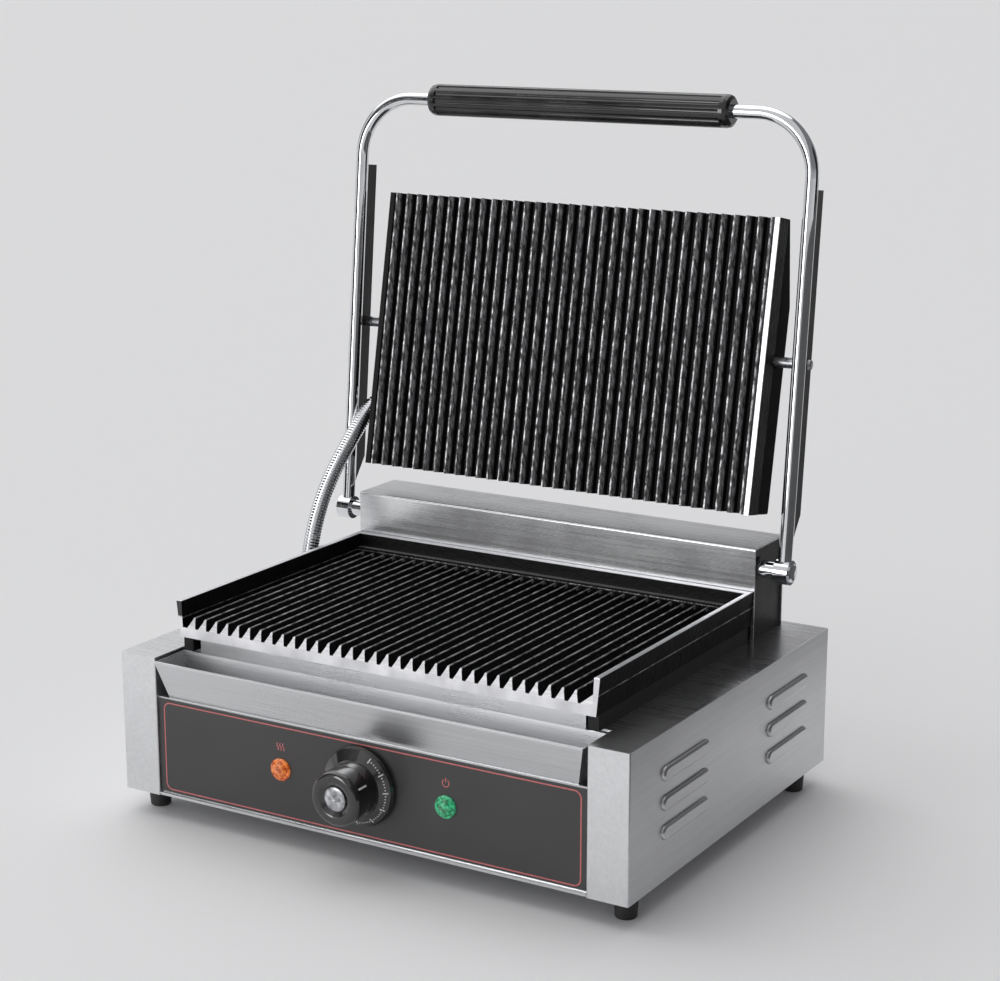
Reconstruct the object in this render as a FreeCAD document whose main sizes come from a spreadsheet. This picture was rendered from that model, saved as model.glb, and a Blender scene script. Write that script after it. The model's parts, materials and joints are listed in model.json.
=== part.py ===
"""Single contact grill: a ribbed cast base plate in a stainless casing, and a ribbed lid plate
that hangs from a sprung U-shaped handle.

Frame: X to the right, Y from front to back, Z up, in millimetres.  The origin lies on the
surface that the feet stand on, under the middle of the grill's bounding box.
"""
import FreeCAD, Part
import math
import os
import re
import Sketcher

SIZES = [
    ("body_width", 410, "casing, over the two side panels"),
    ("body_front", -150, "front face of the casing"),
    ("body_depth", 312, "casing, front to back"),
    ("body_bottom", 17, "underside of the casing, which is the height of the feet"),
    ("body_height", 103, "casing without feet"),
    ("sheet", 1.2, "stainless sheet"),
    ("fit_gap", 0.1, "gap between neighbouring sheet parts"),
    ("post_width", 30.6, "front post of a side panel"),
    ("louvre_length", 68, "pressed louvre, end to end"),
    ("louvre_width", 10.5, "pressed louvre, across"),
    ("louvre_rise", 2.4, "how far a louvre stands out of the side panel"),
    ("louvre_pitch", 20.2, "distance between louvres of one bank"),
    ("bay_depth", 34, "recess for the drip tray, behind the casing's front"),
    ("panel_recess", 3, "control panel, behind the front of the posts"),
    ("panel_top", 91, "top edge of the control panel"),
    ("lamp_spacing", 134.6, "between the two lamps"),
    ("lamp_height", 56.5, "centre of the lamps"),
    ("knob_height", 58.5, "centre of the knob"),
    ("tray_half", 172.8, "half the width of the drip tray's rim"),
    ("tray_foot_half", 166, "half the width of the drip tray's floor"),
    ("tray_rim", 118, "height of the drip tray's rim"),
    ("plate_front", -128, "front edge of the lower plate"),
    ("plate_back", 102.4, "rear face of the lower plate"),
    ("plate_bottom", 131, "underside of the lower plate"),
    ("plate_floor", 138.2, "floor between the ribs of the lower plate"),
    ("wall_top", 157.4, "top of the lower plate's walls"),
    ("wall_half", 171.2, "half the width over the wall tops"),
    ("wall_foot_half", 168.5, "half the width over the feet of the walls"),
    ("wall_thick", 4.4, "wall of the lower plate"),
    ("rib_rise", 7, "height of a rib"),
    ("rib_root", 7.2, "width of a rib where it meets the floor"),
    ("rib_crest", 2.4, "width of a rib near its crest"),
    ("rib_pitch", 9.69, "distance between the lower plate's ribs"),
    ("rib_count", 33, "ribs on the lower plate"),
    ("rib_first", -158.6, "leftmost rib of the lower plate"),
    ("rib_bevel", 4.6, "how far the front ends of the ribs slope back"),
    ("foot_width", 10, "sloping foot of the lower plate's right wall"),
    ("riser_front", 103, "front of the hinge housing"),
    ("riser_depth", 50, "hinge housing, front to back"),
    ("riser_top", 189, "top of the hinge housing"),
    ("riser_half", 171.5, "half the length of the hinge housing"),
    ("hinge_y", 113, "hinge axis, from the origin"),
    ("hinge_z", 172.5, "hinge axis, above the surface"),
    ("shaft_radius", 5, "hinge shaft and handle rod"),
    ("running_gap", 0.05, "radial clearance of a turning fit"),
    ("arm_half", 190, "centre of an arm's rod, from the middle"),
    ("arm_reach", 324, "hinge axis to the centre of the grip"),
    ("arm_lean", 5.6, "backward lean of the arms at rest, degrees"),
    ("arm_bend", 44, "bend radius of the handle rod"),
    ("bar_thick", 4.5, "flat bar behind each arm's rod"),
    ("bar_depth", 12, "flat bar, front to back"),
    ("pivot_reach", 148.64, "hinge axis to the lid's pivot, along the arm"),
    ("pivot_back", 12.82, "lid's pivot behind the rod's centre"),
    ("grip_half", 126.6, "half the length of the grip"),
    ("grip_radius", 12, "radius over the grip's flutes"),
    ("lid_lean", 10.98, "backward lean of the lid plate at rest, degrees"),
    ("lid_half", 166, "half the width of the lid"),
    ("lid_below", 111, "lid below its pivot"),
    ("lid_above", 101.8, "lid above its pivot"),
    ("lid_pitch", 9.65, "distance between the lid's ribs"),
    ("lid_count", 34, "ribs on the lid"),
    ("lid_border", 4.7, "plain border along each side of the lid's face"),
    ("lid_break", 40, "where the lid's cover starts to slope, above its pivot"),
    ("lid_face", -17.6, "rib crests of the lid, from its pivot"),
    ("lid_back", 17.2, "back of the lid, from its pivot"),
    ("lid_wall", 1.5, "sheet of the lid's cover"),
    ("element_radius", 3.5, "sheathed heating element"),
    ("conduit_radius", 6.5, "flexible metal conduit"),
]


class Dim:
    """A length that carries its spreadsheet expression and its present value."""

    def __init__(self, text, value):
        self.text = text
        self.value = float(value)

    def __add__(self, other):
        return Dim(f"({self.text} + {text_of(other)})", self.value + number(other))

    def __radd__(self, other):
        return Dim(f"({text_of(other)} + {self.text})", number(other) + self.value)

    def __sub__(self, other):
        return Dim(f"({self.text} - {text_of(other)})", self.value - number(other))

    def __rsub__(self, other):
        return Dim(f"({text_of(other)} - {self.text})", number(other) - self.value)

    def __mul__(self, other):
        return Dim(f"({self.text} * {text_of(other)})", self.value * number(other))

    __rmul__ = __mul__

    def __truediv__(self, other):
        return Dim(f"({self.text} / {text_of(other)})", self.value / number(other))

    def __neg__(self):
        return Dim(f"(0 - {self.text})", -self.value)


def number(size):
    return size.value if isinstance(size, Dim) else float(size)


def text_of(size):
    return size.text if isinstance(size, Dim) else repr(size)


def sine(angle):
    return Dim(f"sin({angle.text} * 1 deg)", math.sin(math.radians(angle.value)))


def cosine(angle):
    return Dim(f"cos({angle.text} * 1 deg)", math.cos(math.radians(angle.value)))


def bind(item, prop, size):
    """Tie a property to the spreadsheet, or set it where it is a plain number."""
    item.setExpression(prop, text_of(size))


# ---------------------------------------------------------------- document and sizes

doc = FreeCAD.newDocument("contact_grill")
sheet = doc.addObject("Spreadsheet::Sheet", "Sizes")
D = {}
for row, (alias, value, meaning) in enumerate(SIZES, start=1):
    sheet.set(f"A{row}", meaning)
    sheet.set(f"B{row}", str(value))
    sheet.setAlias(f"B{row}", alias)
    D[alias] = Dim(f"Sizes.{alias}", value)
doc.recompute()

SUBPARTS = []
POCKETS = []
PLANES = {"X": ("YZ_Plane", 1), "Y": ("XZ_Plane", -1), "Z": ("XY_Plane", 1)}
AXES = {"X": FreeCAD.Vector(1, 0, 0), "Y": FreeCAD.Vector(0, 1, 0), "Z": FreeCAD.Vector(0, 0, 1)}


def keep(item, label):
    """Give an object its label and put it on the list of sub-parts."""
    item.Label = label
    SUBPARTS.append(item)
    return item


# ---------------------------------------------------------------- sketches and features

def new_body(label):
    return keep(doc.addObject("PartDesign::Body", label), label)


def hidden_body(name):
    """A body that only serves as the pattern for a group of copies."""
    return doc.addObject("PartDesign::Body", name)


def origin_feature(body, role):
    return [part for part in body.Origin.OriginFeatures if part.Role == role][0]


def circle(a, b, radius):
    return ("circle", a, b, radius)


def rectangle(a0, a1, b0, b1):
    return [(a0, b0), (a1, b0), (a1, b1), (a0, b1)]


def pill(a, b, length, width):
    """A slot outline with round ends, along the sketch's first axis."""
    return ("pill", a, b, length, width)


def pin_point(sketch, geometry, point, a, b):
    """Hold one point of a sketch at a distance from the sketch's origin along each axis."""
    for kind, size in (("DistanceX", a), ("DistanceY", b)):
        index = sketch.addConstraint(Sketcher.Constraint(kind, -1, 1, geometry, point, number(size)))
        if isinstance(size, Dim):
            sketch.setExpression(f"Constraints[{index}]", size.text)


def draw_polygon(sketch, points):
    first = sketch.GeometryCount
    spots = [FreeCAD.Vector(number(a), number(b), 0) for a, b in points]
    count = len(points)
    for index in range(count):
        sketch.addGeometry(Part.LineSegment(spots[index], spots[(index + 1) % count]))
    for index in range(count):
        following = first + (index + 1) % count
        sketch.addConstraint(Sketcher.Constraint("Coincident", first + index, 2, following, 1))
    for index, (a, b) in enumerate(points):
        pin_point(sketch, first + index, 1, a, b)


def draw_circle(sketch, a, b, radius):
    centre = FreeCAD.Vector(number(a), number(b), 0)
    ring = sketch.addGeometry(Part.Circle(centre, AXES["Z"], number(radius)))
    index = sketch.addConstraint(Sketcher.Constraint("Radius", ring, number(radius)))
    if isinstance(radius, Dim):
        sketch.setExpression(f"Constraints[{index}]", radius.text)
    pin_point(sketch, ring, 3, a, b)


def draw_pill(sketch, a, b, length, width):
    """Two half circles joined by two straight sides, all held by the end points of the sides."""
    radius = width / 2
    reach = (length - width) / 2
    first = sketch.GeometryCount
    corners = [(a - reach, b - radius), (a + reach, b - radius),
               (a + reach, b + radius), (a - reach, b + radius)]
    spots = [FreeCAD.Vector(number(p), number(q), 0) for p, q in corners]
    right = FreeCAD.Vector(number(a + reach + radius), number(b), 0)
    left = FreeCAD.Vector(number(a - reach - radius), number(b), 0)
    sketch.addGeometry(Part.LineSegment(spots[0], spots[1]))
    sketch.addGeometry(Part.Arc(spots[1], right, spots[2]))
    sketch.addGeometry(Part.LineSegment(spots[2], spots[3]))
    sketch.addGeometry(Part.Arc(spots[3], left, spots[0]))
    pairs = [(first, 2, first + 1, 1), (first + 1, 2, first + 2, 1),
             (first + 2, 2, first + 3, 1), (first + 3, 2, first, 1)]
    for pair in pairs:
        sketch.addConstraint(Sketcher.Constraint("Coincident", *pair))
    pin_point(sketch, first, 1, *corners[0])
    pin_point(sketch, first, 2, *corners[1])
    pin_point(sketch, first + 2, 1, *corners[2])
    pin_point(sketch, first + 2, 2, *corners[3])
    for arc, middle in ((first + 1, a + reach), (first + 3, a - reach)):
        index = sketch.addConstraint(Sketcher.Constraint("DistanceX", -1, 1, arc, 3, number(middle)))
        sketch.setExpression(f"Constraints[{index}]", text_of(middle))


def flat_sketch(body, axis, at, shapes):
    """A sketch square to an axis of the body, at a distance along that axis."""
    role, sign = PLANES[axis]
    sketch = body.newObject("Sketcher::SketchObject", body.Name + "_sketch")
    sketch.AttachmentSupport = (origin_feature(body, role), [""])
    sketch.MapMode = "FlatFace"
    bind(sketch, "AttachmentOffset.Base.z", at * sign)
    for shape in shapes:
        if isinstance(shape, list):
            draw_polygon(sketch, shape)
        elif shape[0] == "circle":
            draw_circle(sketch, *shape[1:])
        else:
            draw_pill(sketch, *shape[1:])
    return sketch


def add(body, axis, low, high, *shapes):
    """Pad outlines from one distance along an axis to another."""
    start = low if PLANES[axis][1] > 0 else high
    pad = body.newObject("PartDesign::Pad", body.Name + "_pad")
    pad.Profile = flat_sketch(body, axis, start, shapes)
    bind(pad, "Length", high - low)
    return pad


def cut(body, axis, low, high, *shapes):
    """Pocket outlines from one distance along an axis to another."""
    start = high if PLANES[axis][1] > 0 else low
    pocket = body.newObject("PartDesign::Pocket", body.Name + "_pocket")
    pocket.Profile = flat_sketch(body, axis, start, shapes)
    bind(pocket, "Length", high - low)
    POCKETS.append(pocket)
    return pocket


def row_of(body, feature, axis, length, count):
    """Repeat a feature in a row along an axis of the body."""
    pattern = body.newObject("PartDesign::LinearPattern", body.Name + "_row")
    pattern.Originals = [feature]
    pattern.Direction = (origin_feature(body, axis + "_Axis"), [""])
    bind(pattern, "Length", length)
    bind(pattern, "Occurrences", count)
    body.Tip = pattern
    return pattern


def round_edges(body, radius, test):
    """Fillet the edges of the body's last feature that pass a test on their middle point."""
    doc.recompute()
    tip = body.Tip
    names = []
    for index, edge in enumerate(tip.Shape.Edges, start=1):
        middle = edge.valueAt((edge.FirstParameter + edge.LastParameter) / 2)
        if test(edge, middle):
            names.append(f"Edge{index}")
    fillet = body.newObject("PartDesign::Fillet", body.Name + "_fillet")
    fillet.Base = (tip, names)
    bind(fillet, "Radius", radius)
    return fillet


def along(edge, axis, length=0.0):
    """True for a straight edge along an axis that is at least so long."""
    if not isinstance(edge.Curve, Part.Line) or edge.Length < length:
        return False
    return abs(edge.Curve.Direction.dot(AXES[axis])) > 0.999


def turn(body, profile):
    """Revolve a profile of (radius, height) points about the body's own Z axis."""
    revolution = body.newObject("PartDesign::Revolution", body.Name + "_turned")
    sketch = flat_sketch(body, "Y", 0, [profile])
    revolution.Profile = sketch
    revolution.ReferenceAxis = (sketch, ["V_Axis"])
    revolution.Angle = 360
    return revolution


def place(item, x, y, z, direction=None):
    """Put an object's own origin at a point, with its Z axis along a direction."""
    if direction is not None:
        item.Placement = FreeCAD.Placement(FreeCAD.Vector(), FreeCAD.Rotation(AXES["Z"], direction))
    for name, size in (("x", x), ("y", y), ("z", z)):
        bind(item, f"Placement.Base.{name}", size)


def block(label, x0, x1, y0, y1, z0, z1):
    """A plain box between three pairs of limits."""
    box = doc.addObject("Part::Box", label)
    for prop, size in (("Length", x1 - x0), ("Width", y1 - y0), ("Height", z1 - z0)):
        bind(box, prop, size)
    place(box, x0, y0, z0)
    return box


def shape_part(label, shape, placement=None):
    """A sub-part whose shape comes straight from Part's own functions."""
    item = doc.addObject("Part::Feature", label)
    item.Shape = shape
    if placement is not None:
        item.Placement = placement
    return keep(item, label)


def group(label, pattern, spots, direction=AXES["Z"], placement=None):
    """Copies of one pattern solid, kept together as separate solids of one sub-part."""
    doc.recompute()
    turned = FreeCAD.Rotation(AXES["Z"], direction)
    copies = []
    for spot in spots:
        copy = pattern.Shape.copy()
        copy.Placement = FreeCAD.Placement(FreeCAD.Vector(*[number(c) for c in spot]), turned)
        copies.append(copy)
    return shape_part(label, Part.makeCompound(copies), placement)


def mirrored_pair(label, pattern, reach, y, z, placement=None):
    """Two copies of a turned solid, at plus and minus a reach along X, each facing outwards."""
    doc.recompute()
    copies = []
    for side in (-1, 1):
        copy = pattern.Shape.copy()
        turned = FreeCAD.Rotation(AXES["Z"], AXES["X"] * side)
        spot = FreeCAD.Vector(side * number(reach), number(y), number(z))
        copy.Placement = FreeCAD.Placement(spot, turned)
        copies.append(copy)
    return shape_part(label, Part.makeCompound(copies), placement)


def rounded_path(points, radii):
    """Straight runs between points, joined by tangent arcs of the given radii."""
    points = [FreeCAD.Vector(*point) for point in points]
    edges = []
    start = points[0]
    for before, corner, after, radius in zip(points, points[1:-1], points[2:], radii):
        back = (before - corner).normalize()
        ahead = (after - corner).normalize()
        half = back.getAngle(ahead) / 2
        entry = corner + back * (radius / math.tan(half))
        leave = corner + ahead * (radius / math.tan(half))
        inward = (back + ahead).normalize()
        crown = corner + inward * (radius / math.sin(half) - radius)
        edges.append(Part.LineSegment(start, entry).toShape())
        edges.append(Part.Arc(entry, crown, leave).toShape())
        start = leave
    edges.append(Part.LineSegment(start, points[-1]).toShape())
    return Part.Wire(edges)


def round_bar(points, radii, radius, hollow=0.0):
    """A round bar, or a tube where hollow is its inner radius, along a rounded path."""
    path = rounded_path(points, radii)
    heading = FreeCAD.Vector(*points[1]) - FreeCAD.Vector(*points[0])
    solids = []
    for size in (radius, hollow):
        if size:
            ring = Part.Wire(Part.Circle(FreeCAD.Vector(*points[0]), heading, size).toShape())
            solids.append(path.makePipeShell([ring], True, False))
    bar = solids[0].cut(solids[1]) if hollow else solids[0]
    if bar.Volume < 0:
        bar.reverse()
    return bar


# ---------------------------------------------------------------- places derived from the sizes

half_width = D["body_width"] / 2
front = D["body_front"]
back = front + D["body_depth"]
bottom = D["body_bottom"]
deck = bottom + D["body_height"]
skin = D["sheet"]
gap = D["fit_gap"]
post_inner = half_width - D["post_width"]
inside = half_width - skin - gap
bay_back = front + D["bay_depth"]
riser_back = D["riser_front"] + D["riser_depth"]
louvre_middle = bottom + 54.3
rib_span = D["rib_pitch"] * (D["rib_count"] - 1)
lid_span = D["lid_pitch"] * (D["lid_count"] - 1)
panel_front = front + D["panel_recess"]
LOUVRE_BANKS = (-72, 91)
CASING_SCREW_X = half_width - 7
CASING_SCREW_LEVELS = (35, 101)
BULB_X, BULB_Y = -60, -40
HEATER_POSTS = [(-125, -75), (125, -75)]
CONDUIT_X, CONDUIT_Y = -184.5, 48.0
INLET_X, INLET_Z = 150.0, 43.0
LID_GLAND_Y, LID_GLAND_Z = 7.4, -61.6
COVER_SCREW_SPOTS = [(x, z) for x in (-150, 150) for z in (-92, 33)]
bracket_screw_spots = [(x, y) for x in (-157, 157) for y in (112, 142)]
plate_bolt_spots = [(x, y) for x in (-164.3, 164.3) for y in (-95, 75)]
foot_spots = [(x, y) for x in (-192, 192) for y in (-128, 136)]
pivot_y = (D["hinge_y"] + D["pivot_back"] * cosine(D["arm_lean"])
           + D["pivot_reach"] * sine(D["arm_lean"]))
pivot_z = (D["hinge_z"] - D["pivot_back"] * sine(D["arm_lean"])
           + D["pivot_reach"] * cosine(D["arm_lean"]))


def mirrored_span(side, near, far):
    """The limits of a stretch of X on the right (side 1) or, mirrored, on the left (side -1)."""
    return (near, far) if side > 0 else (-far, -near)


# ---------------------------------------------------------------- casing

def side_panel(side, label):
    """A side of the casing: skin, front post with its return, bottom and rear flanges, louvres."""
    body = new_body(label)
    x0, x1 = mirrored_span(side, half_width - skin, half_width)
    add(body, "X", x0, x1, rectangle(front, back, bottom, deck))
    x0, x1 = mirrored_span(side, post_inner, half_width)
    add(body, "Z", bottom, deck, rectangle(x0, x1, front, front + skin))
    x0, x1 = mirrored_span(side, post_inner, post_inner + skin)
    low, high = bottom + skin + gap, deck - skin - gap
    add(body, "Z", low, high, rectangle(x0, x1, front, front + 18))
    rear = back - skin - gap
    x0, x1 = mirrored_span(side, half_width - 8, half_width)
    add(body, "Z", low, low + skin, rectangle(x0, x1, front, rear))
    x0, x1 = mirrored_span(side, half_width - 15, half_width)
    add(body, "Z", bottom + skin * 2, deck - skin * 2, rectangle(x0, x1, rear - skin, rear))
    cut(body, "Y", rear - skin, rear, *screw_circles(side))
    round_edges(body, 1.0, lambda edge, p: along(edge, "Z", 90) and abs(p.y - number(front)) < 0.1)
    x0, x1 = mirrored_span(side, half_width - skin, half_width + D["louvre_rise"])
    spots = [(y, louvre_middle + D["louvre_pitch"] * step) for y in LOUVRE_BANKS for step in (-1, 0, 1)]
    length, width = D["louvre_length"], D["louvre_width"]
    add(body, "X", x0, x1, *[pill(y, z, length, width) for y, z in spots])
    crown = number(half_width + D["louvre_rise"])
    round_edges(body, D["louvre_rise"] * 0.9, lambda edge, p: abs(abs(p.x) - crown) < 0.01)
    x0, x1 = mirrored_span(side, half_width - skin - 1, half_width + D["louvre_rise"] - 1.0)
    cut(body, "X", x0, x1, *[pill(y, z, length - 4.4, width - 4.4) for y, z in spots])
    x0, x1 = mirrored_span(side, half_width + 0.1, half_width + 1.3)
    for level in (-1, 0, 1):
        sill = louvre_middle + D["louvre_pitch"] * level - width / 2
        mouths = [rectangle(x0, x1, y - 26, y + 26) for y in LOUVRE_BANKS]
        cut(body, "Z", sill - 0.5, sill + 3.2, *mouths)
    return body


def screw_circles(side):
    """Clearance holes for one side's casing screws."""
    return [circle(side * CASING_SCREW_X, z, 1.8) for z in CASING_SCREW_LEVELS]


def top_deck():
    """The casing's top: notched at the front for the tray's bay, and open under the plate."""
    body = new_body("top_deck")
    outline = [(-inside, front + skin + gap), (-post_inner, front + skin + gap),
               (-post_inner, bay_back), (post_inner, bay_back),
               (post_inner, front + skin + gap), (inside, front + skin + gap),
               (inside, back), (-inside, back)]
    add(body, "Z", deck - skin, deck, outline)
    flange = rectangle(-post_inner, post_inner, bay_back - skin, bay_back)
    add(body, "Z", deck - 32, deck, flange)
    holes = [circle(x, y, 3.2) for x, y in plate_bolt_spots]
    holes += [circle(x, y, 2.6) for x, y in bracket_screw_spots]
    cut(body, "Z", deck - skin, deck, rectangle(-148, 148, -88, 74),
        circle(CONDUIT_X, CONDUIT_Y, 7.2), *holes)
    return body


def rear_panel():
    """The casing's back, with two banks of slots and the hole for the mains inlet."""
    body = new_body("rear_panel")
    add(body, "Y", back - skin, back,
        rectangle(-inside, inside, bottom + skin + gap, deck - skin - gap))
    slots = [pill(x, louvre_middle + 14 - step * 12, D["louvre_length"] * 0.9, D["sheet"] * 3.4)
             for x in (-95, 0, 95) for step in (0, 1, 2)]
    screws = screw_circles(1) + screw_circles(-1)
    cut(body, "Y", back - skin, back, circle(INLET_X, INLET_Z, 8.2), *slots, *screws)
    return body


def bottom_plate():
    """The casing's floor, with holes for the foot screws and rows of cooling slots."""
    body = new_body("bottom_plate")
    add(body, "Z", bottom, bottom + skin,
        rectangle(-inside, inside, front + skin + gap, back - skin * 2 - gap * 2))
    holes = [circle(x, y, 2.6) for x, y in foot_spots]
    slots = [pill(x, y, D["sheet"] * 42, D["sheet"] * 4)
             for x in (-80, 0, 80) for y in (-60, -30, 0, 30, 60)]
    cut(body, "Z", bottom, bottom + skin, *holes, *slots)
    return body


def front_panel():
    """The control panel's sheet between the posts: a shelf on top, a lip at the bottom."""
    body = new_body("front_panel")
    half = post_inner - gap
    low = bottom + skin + gap
    high = D["panel_top"]
    rear = panel_front + skin
    profile = [(front + 0.3, low), (front + 0.3, low + skin), (panel_front, low + skin),
               (panel_front, high), (bay_back - skin - gap * 5, high),
               (bay_back - skin - gap * 5, high - skin), (rear, high - skin), (rear, low)]
    add(body, "X", -half, half, profile)
    lamps = [circle(side * D["lamp_spacing"] / 2, D["lamp_height"], 5.3) for side in (-1, 1)]
    cut(body, "Y", panel_front, rear, circle(0, D["knob_height"], 5.2), *lamps)
    return body


def control_overlay():
    """The thin plastic facing of the control panel."""
    body = new_body("control_overlay")
    half = post_inner - 0.6
    face = rectangle(-half, half, bottom + 3.4, D["panel_top"] - 1.2)
    lamps = [circle(side * D["lamp_spacing"] / 2, D["lamp_height"], 5.3) for side in (-1, 1)]
    add(body, "Y", panel_front - 0.8, panel_front, face,
        circle(0, D["knob_height"], 5.2), *lamps)
    return body


def feet():
    """Four turned rubber feet, and the screws that hold them."""
    foot = hidden_body("foot_pattern")
    turn(foot, [(0, 0), (6.6, 0), (7.4, 0.9), (8.5, bottom - 1.2), (8.5, bottom), (2.4, bottom),
                (2.4, 3), (0, 3)])
    group("feet", foot, [(x, y, 0) for x, y in foot_spots])
    screw = hidden_body("foot_screw_pattern")
    seat = bottom + skin * 2 + gap
    turn(screw, [(0, 3.1), (2.3, 3.1), (2.3, seat), (4.2, seat), (3.6, seat + 2.2), (0, seat + 2.6)])
    group("foot_screws", screw, [(x, y, 0) for x, y in foot_spots])


def casing_screws():
    """Pan-head screws that hold the rear panel to the side panels' flanges."""
    screw = hidden_body("casing_screw_pattern")
    turn(screw, [(0, -3.5), (1.6, -3.5), (1.6, 0.02), (3.4, 0.02), (3.1, 1.3), (1.8, 2.0), (0, 2.1)])
    spots = [(side * CASING_SCREW_X, back, z) for side in (-1, 1) for z in CASING_SCREW_LEVELS]
    group("casing_screws", screw, spots, AXES["Y"])


# ---------------------------------------------------------------- drip tray

def drip_tray():
    """A sheet trough with a forward-leaning front and sloping ends; its back wall stands higher."""
    body = new_body("drip_tray")
    floor_z = D["panel_top"] + 0.1
    loft = body.newObject("PartDesign::AdditiveLoft", "drip_tray_loft")
    half, foot = D["tray_half"], D["tray_foot_half"]
    base = rectangle(-foot, foot, front + 4.5, front + 28)
    mouth = rectangle(-half, half, front - 3, front + 31)
    loft.Profile = flat_sketch(body, "Z", floor_z, [base])
    loft.Sections = [flat_sketch(body, "Z", D["tray_rim"], [mouth])]
    loft.Ruled = True
    inner = body.newObject("PartDesign::SubtractiveLoft", "drip_tray_hollow")
    base = rectangle(-foot + 0.8, foot - 0.8, front + 5.3, front + 27.1)
    mouth = rectangle(-half + 1, half - 1, front - 2, front + 30)
    inner.Profile = flat_sketch(body, "Z", floor_z + 1, [base])
    inner.Sections = [flat_sketch(body, "Z", D["tray_rim"] + 0.01, [mouth])]
    inner.Ruled = True
    add(body, "Y", front + 30, front + 31,
        rectangle(-half + 16, half - 16, D["tray_rim"] - 0.5, D["plate_bottom"] - 1.5))
    add(body, "Y", front - 3, front - 2,
        rectangle(-half + 0.2, half - 0.2, D["tray_rim"] - 1, D["tray_rim"] + 0.6))
    return body


# ---------------------------------------------------------------- lower plate and what heats it

def rib_outline(middle, floor, sign):
    """A rib in cross-section: flared root, narrow rounded crest."""
    root, crest, rise = D["rib_root"] / 2, D["rib_crest"] / 2, D["rib_rise"] * sign
    sunk = floor - 0.4 * sign
    return [(middle - root, sunk), (middle + root, sunk), (middle + root, floor),
            (middle + crest, floor + rise * 0.72), (middle + crest * 0.78, floor + rise * 0.9),
            (middle + crest * 0.4, floor + rise), (middle - crest * 0.4, floor + rise),
            (middle - crest * 0.78, floor + rise * 0.9), (middle - crest, floor + rise * 0.72),
            (middle - root, floor)]


def lower_plate():
    """The cast base plate: three walls, an open front, and ribs that run front to back."""
    body = new_body("lower_plate")
    foot, top, inner = D["wall_foot_half"], D["wall_half"], D["wall_half"] - D["wall_thick"]
    low, floor, high = D["plate_bottom"], D["plate_floor"], D["wall_top"]
    near, far = D["plate_front"], D["plate_back"]
    section = [(-foot, low), (foot, low), (top, high), (inner, high), (inner - 0.4, floor + 8),
               (inner - D["foot_width"], floor), (-inner + 0.6, floor), (-inner, high), (-top, high)]
    add(body, "Y", near, far, section)
    add(body, "Z", floor - 1, high, rectangle(-inner - 1, inner + 1, far - 6.5, far))
    add(body, "Z", floor - 1, floor + 9, rectangle(-inner, inner, far - 11, far - 6))
    round_edges(body, 0.8, lambda edge, p: abs(p.z - number(high)) < 0.01)
    first = add(body, "Y", near, far - 15, rib_outline(D["rib_first"], floor, 1))
    row_of(body, first, "X", rib_span, D["rib_count"])
    steepness = D["rib_rise"] / D["rib_bevel"]
    above = floor + D["rib_rise"] + steepness
    bevel = [(near - 1, floor - steepness), (near + D["rib_bevel"] + 1, above), (near - 1, above)]
    cut(body, "X", -inner + 0.8, inner - 0.6, bevel)
    cut(body, "Z", low, low + 5, *[circle(x, y, 3.1) for x, y in plate_bolt_spots])
    return body


def plate_frame():
    """The black frame that carries the lower plate above the deck, open towards the tray."""
    body = new_body("plate_frame")
    outer, inner = D["wall_foot_half"], D["wall_foot_half"] - 8
    y0, y1 = front + 26, D["plate_back"] - 2
    outline = [(-outer, y0), (-inner, y0), (-inner, y0 + 8.5), (inner, y0 + 8.5), (inner, y0),
               (outer, y0), (outer, y1), (-outer, y1)]
    add(body, "Z", deck, D["plate_bottom"], outline)
    cut(body, "Z", deck, D["plate_bottom"], rectangle(-inner, inner, y0 + 12.5, y1 - 8))
    cut(body, "Z", deck, D["plate_bottom"], *[circle(x, y, 3.1) for x, y in plate_bolt_spots])
    return body


def plate_bolts():
    """Hexagon bolts from under the deck, through the frame, into the lower plate."""
    body = hidden_body("plate_bolt_pattern")
    shank = number(D["plate_bottom"]) + 4.5 - number(deck - skin)
    add(body, "Z", -4, 0, hexagon(5.5))
    add(body, "Z", -1, shank, circle(0, 0, 3.0))
    group("plate_bolts", body, [(x, y, deck - skin) for x, y in plate_bolt_spots])


def hexagon(across_corners):
    """A hexagon about the sketch's origin, sized by its corner radius."""
    corners = []
    for step in range(6):
        angle = math.radians(60 * step)
        corners.append((across_corners * math.cos(angle), across_corners * math.sin(angle)))
    return corners


def heating_element(label, swing, reach, level, terminals, placement=None, upright=False):
    """A sheathed element bent into hairpins; its two ends turn away from the plate."""
    radius = number(D["element_radius"])
    passes = 6
    points = [(-swing, -reach, level - terminals), (-swing, -reach, level)]
    for index in range(passes):
        x = -swing + 2 * swing * index / (passes - 1)
        far, near = (reach, -reach) if index % 2 == 0 else (-reach, reach)
        if index:
            points.append((x, near, level))
        points.append((x, far, level))
    points.append((swing, points[-1][1], level - terminals))
    radii = [9.0] * (len(points) - 2)
    if upright:
        points = [(x, -z, y) for x, y, z in points]
    return shape_part(label, round_bar(points, radii, radius), placement)


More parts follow.
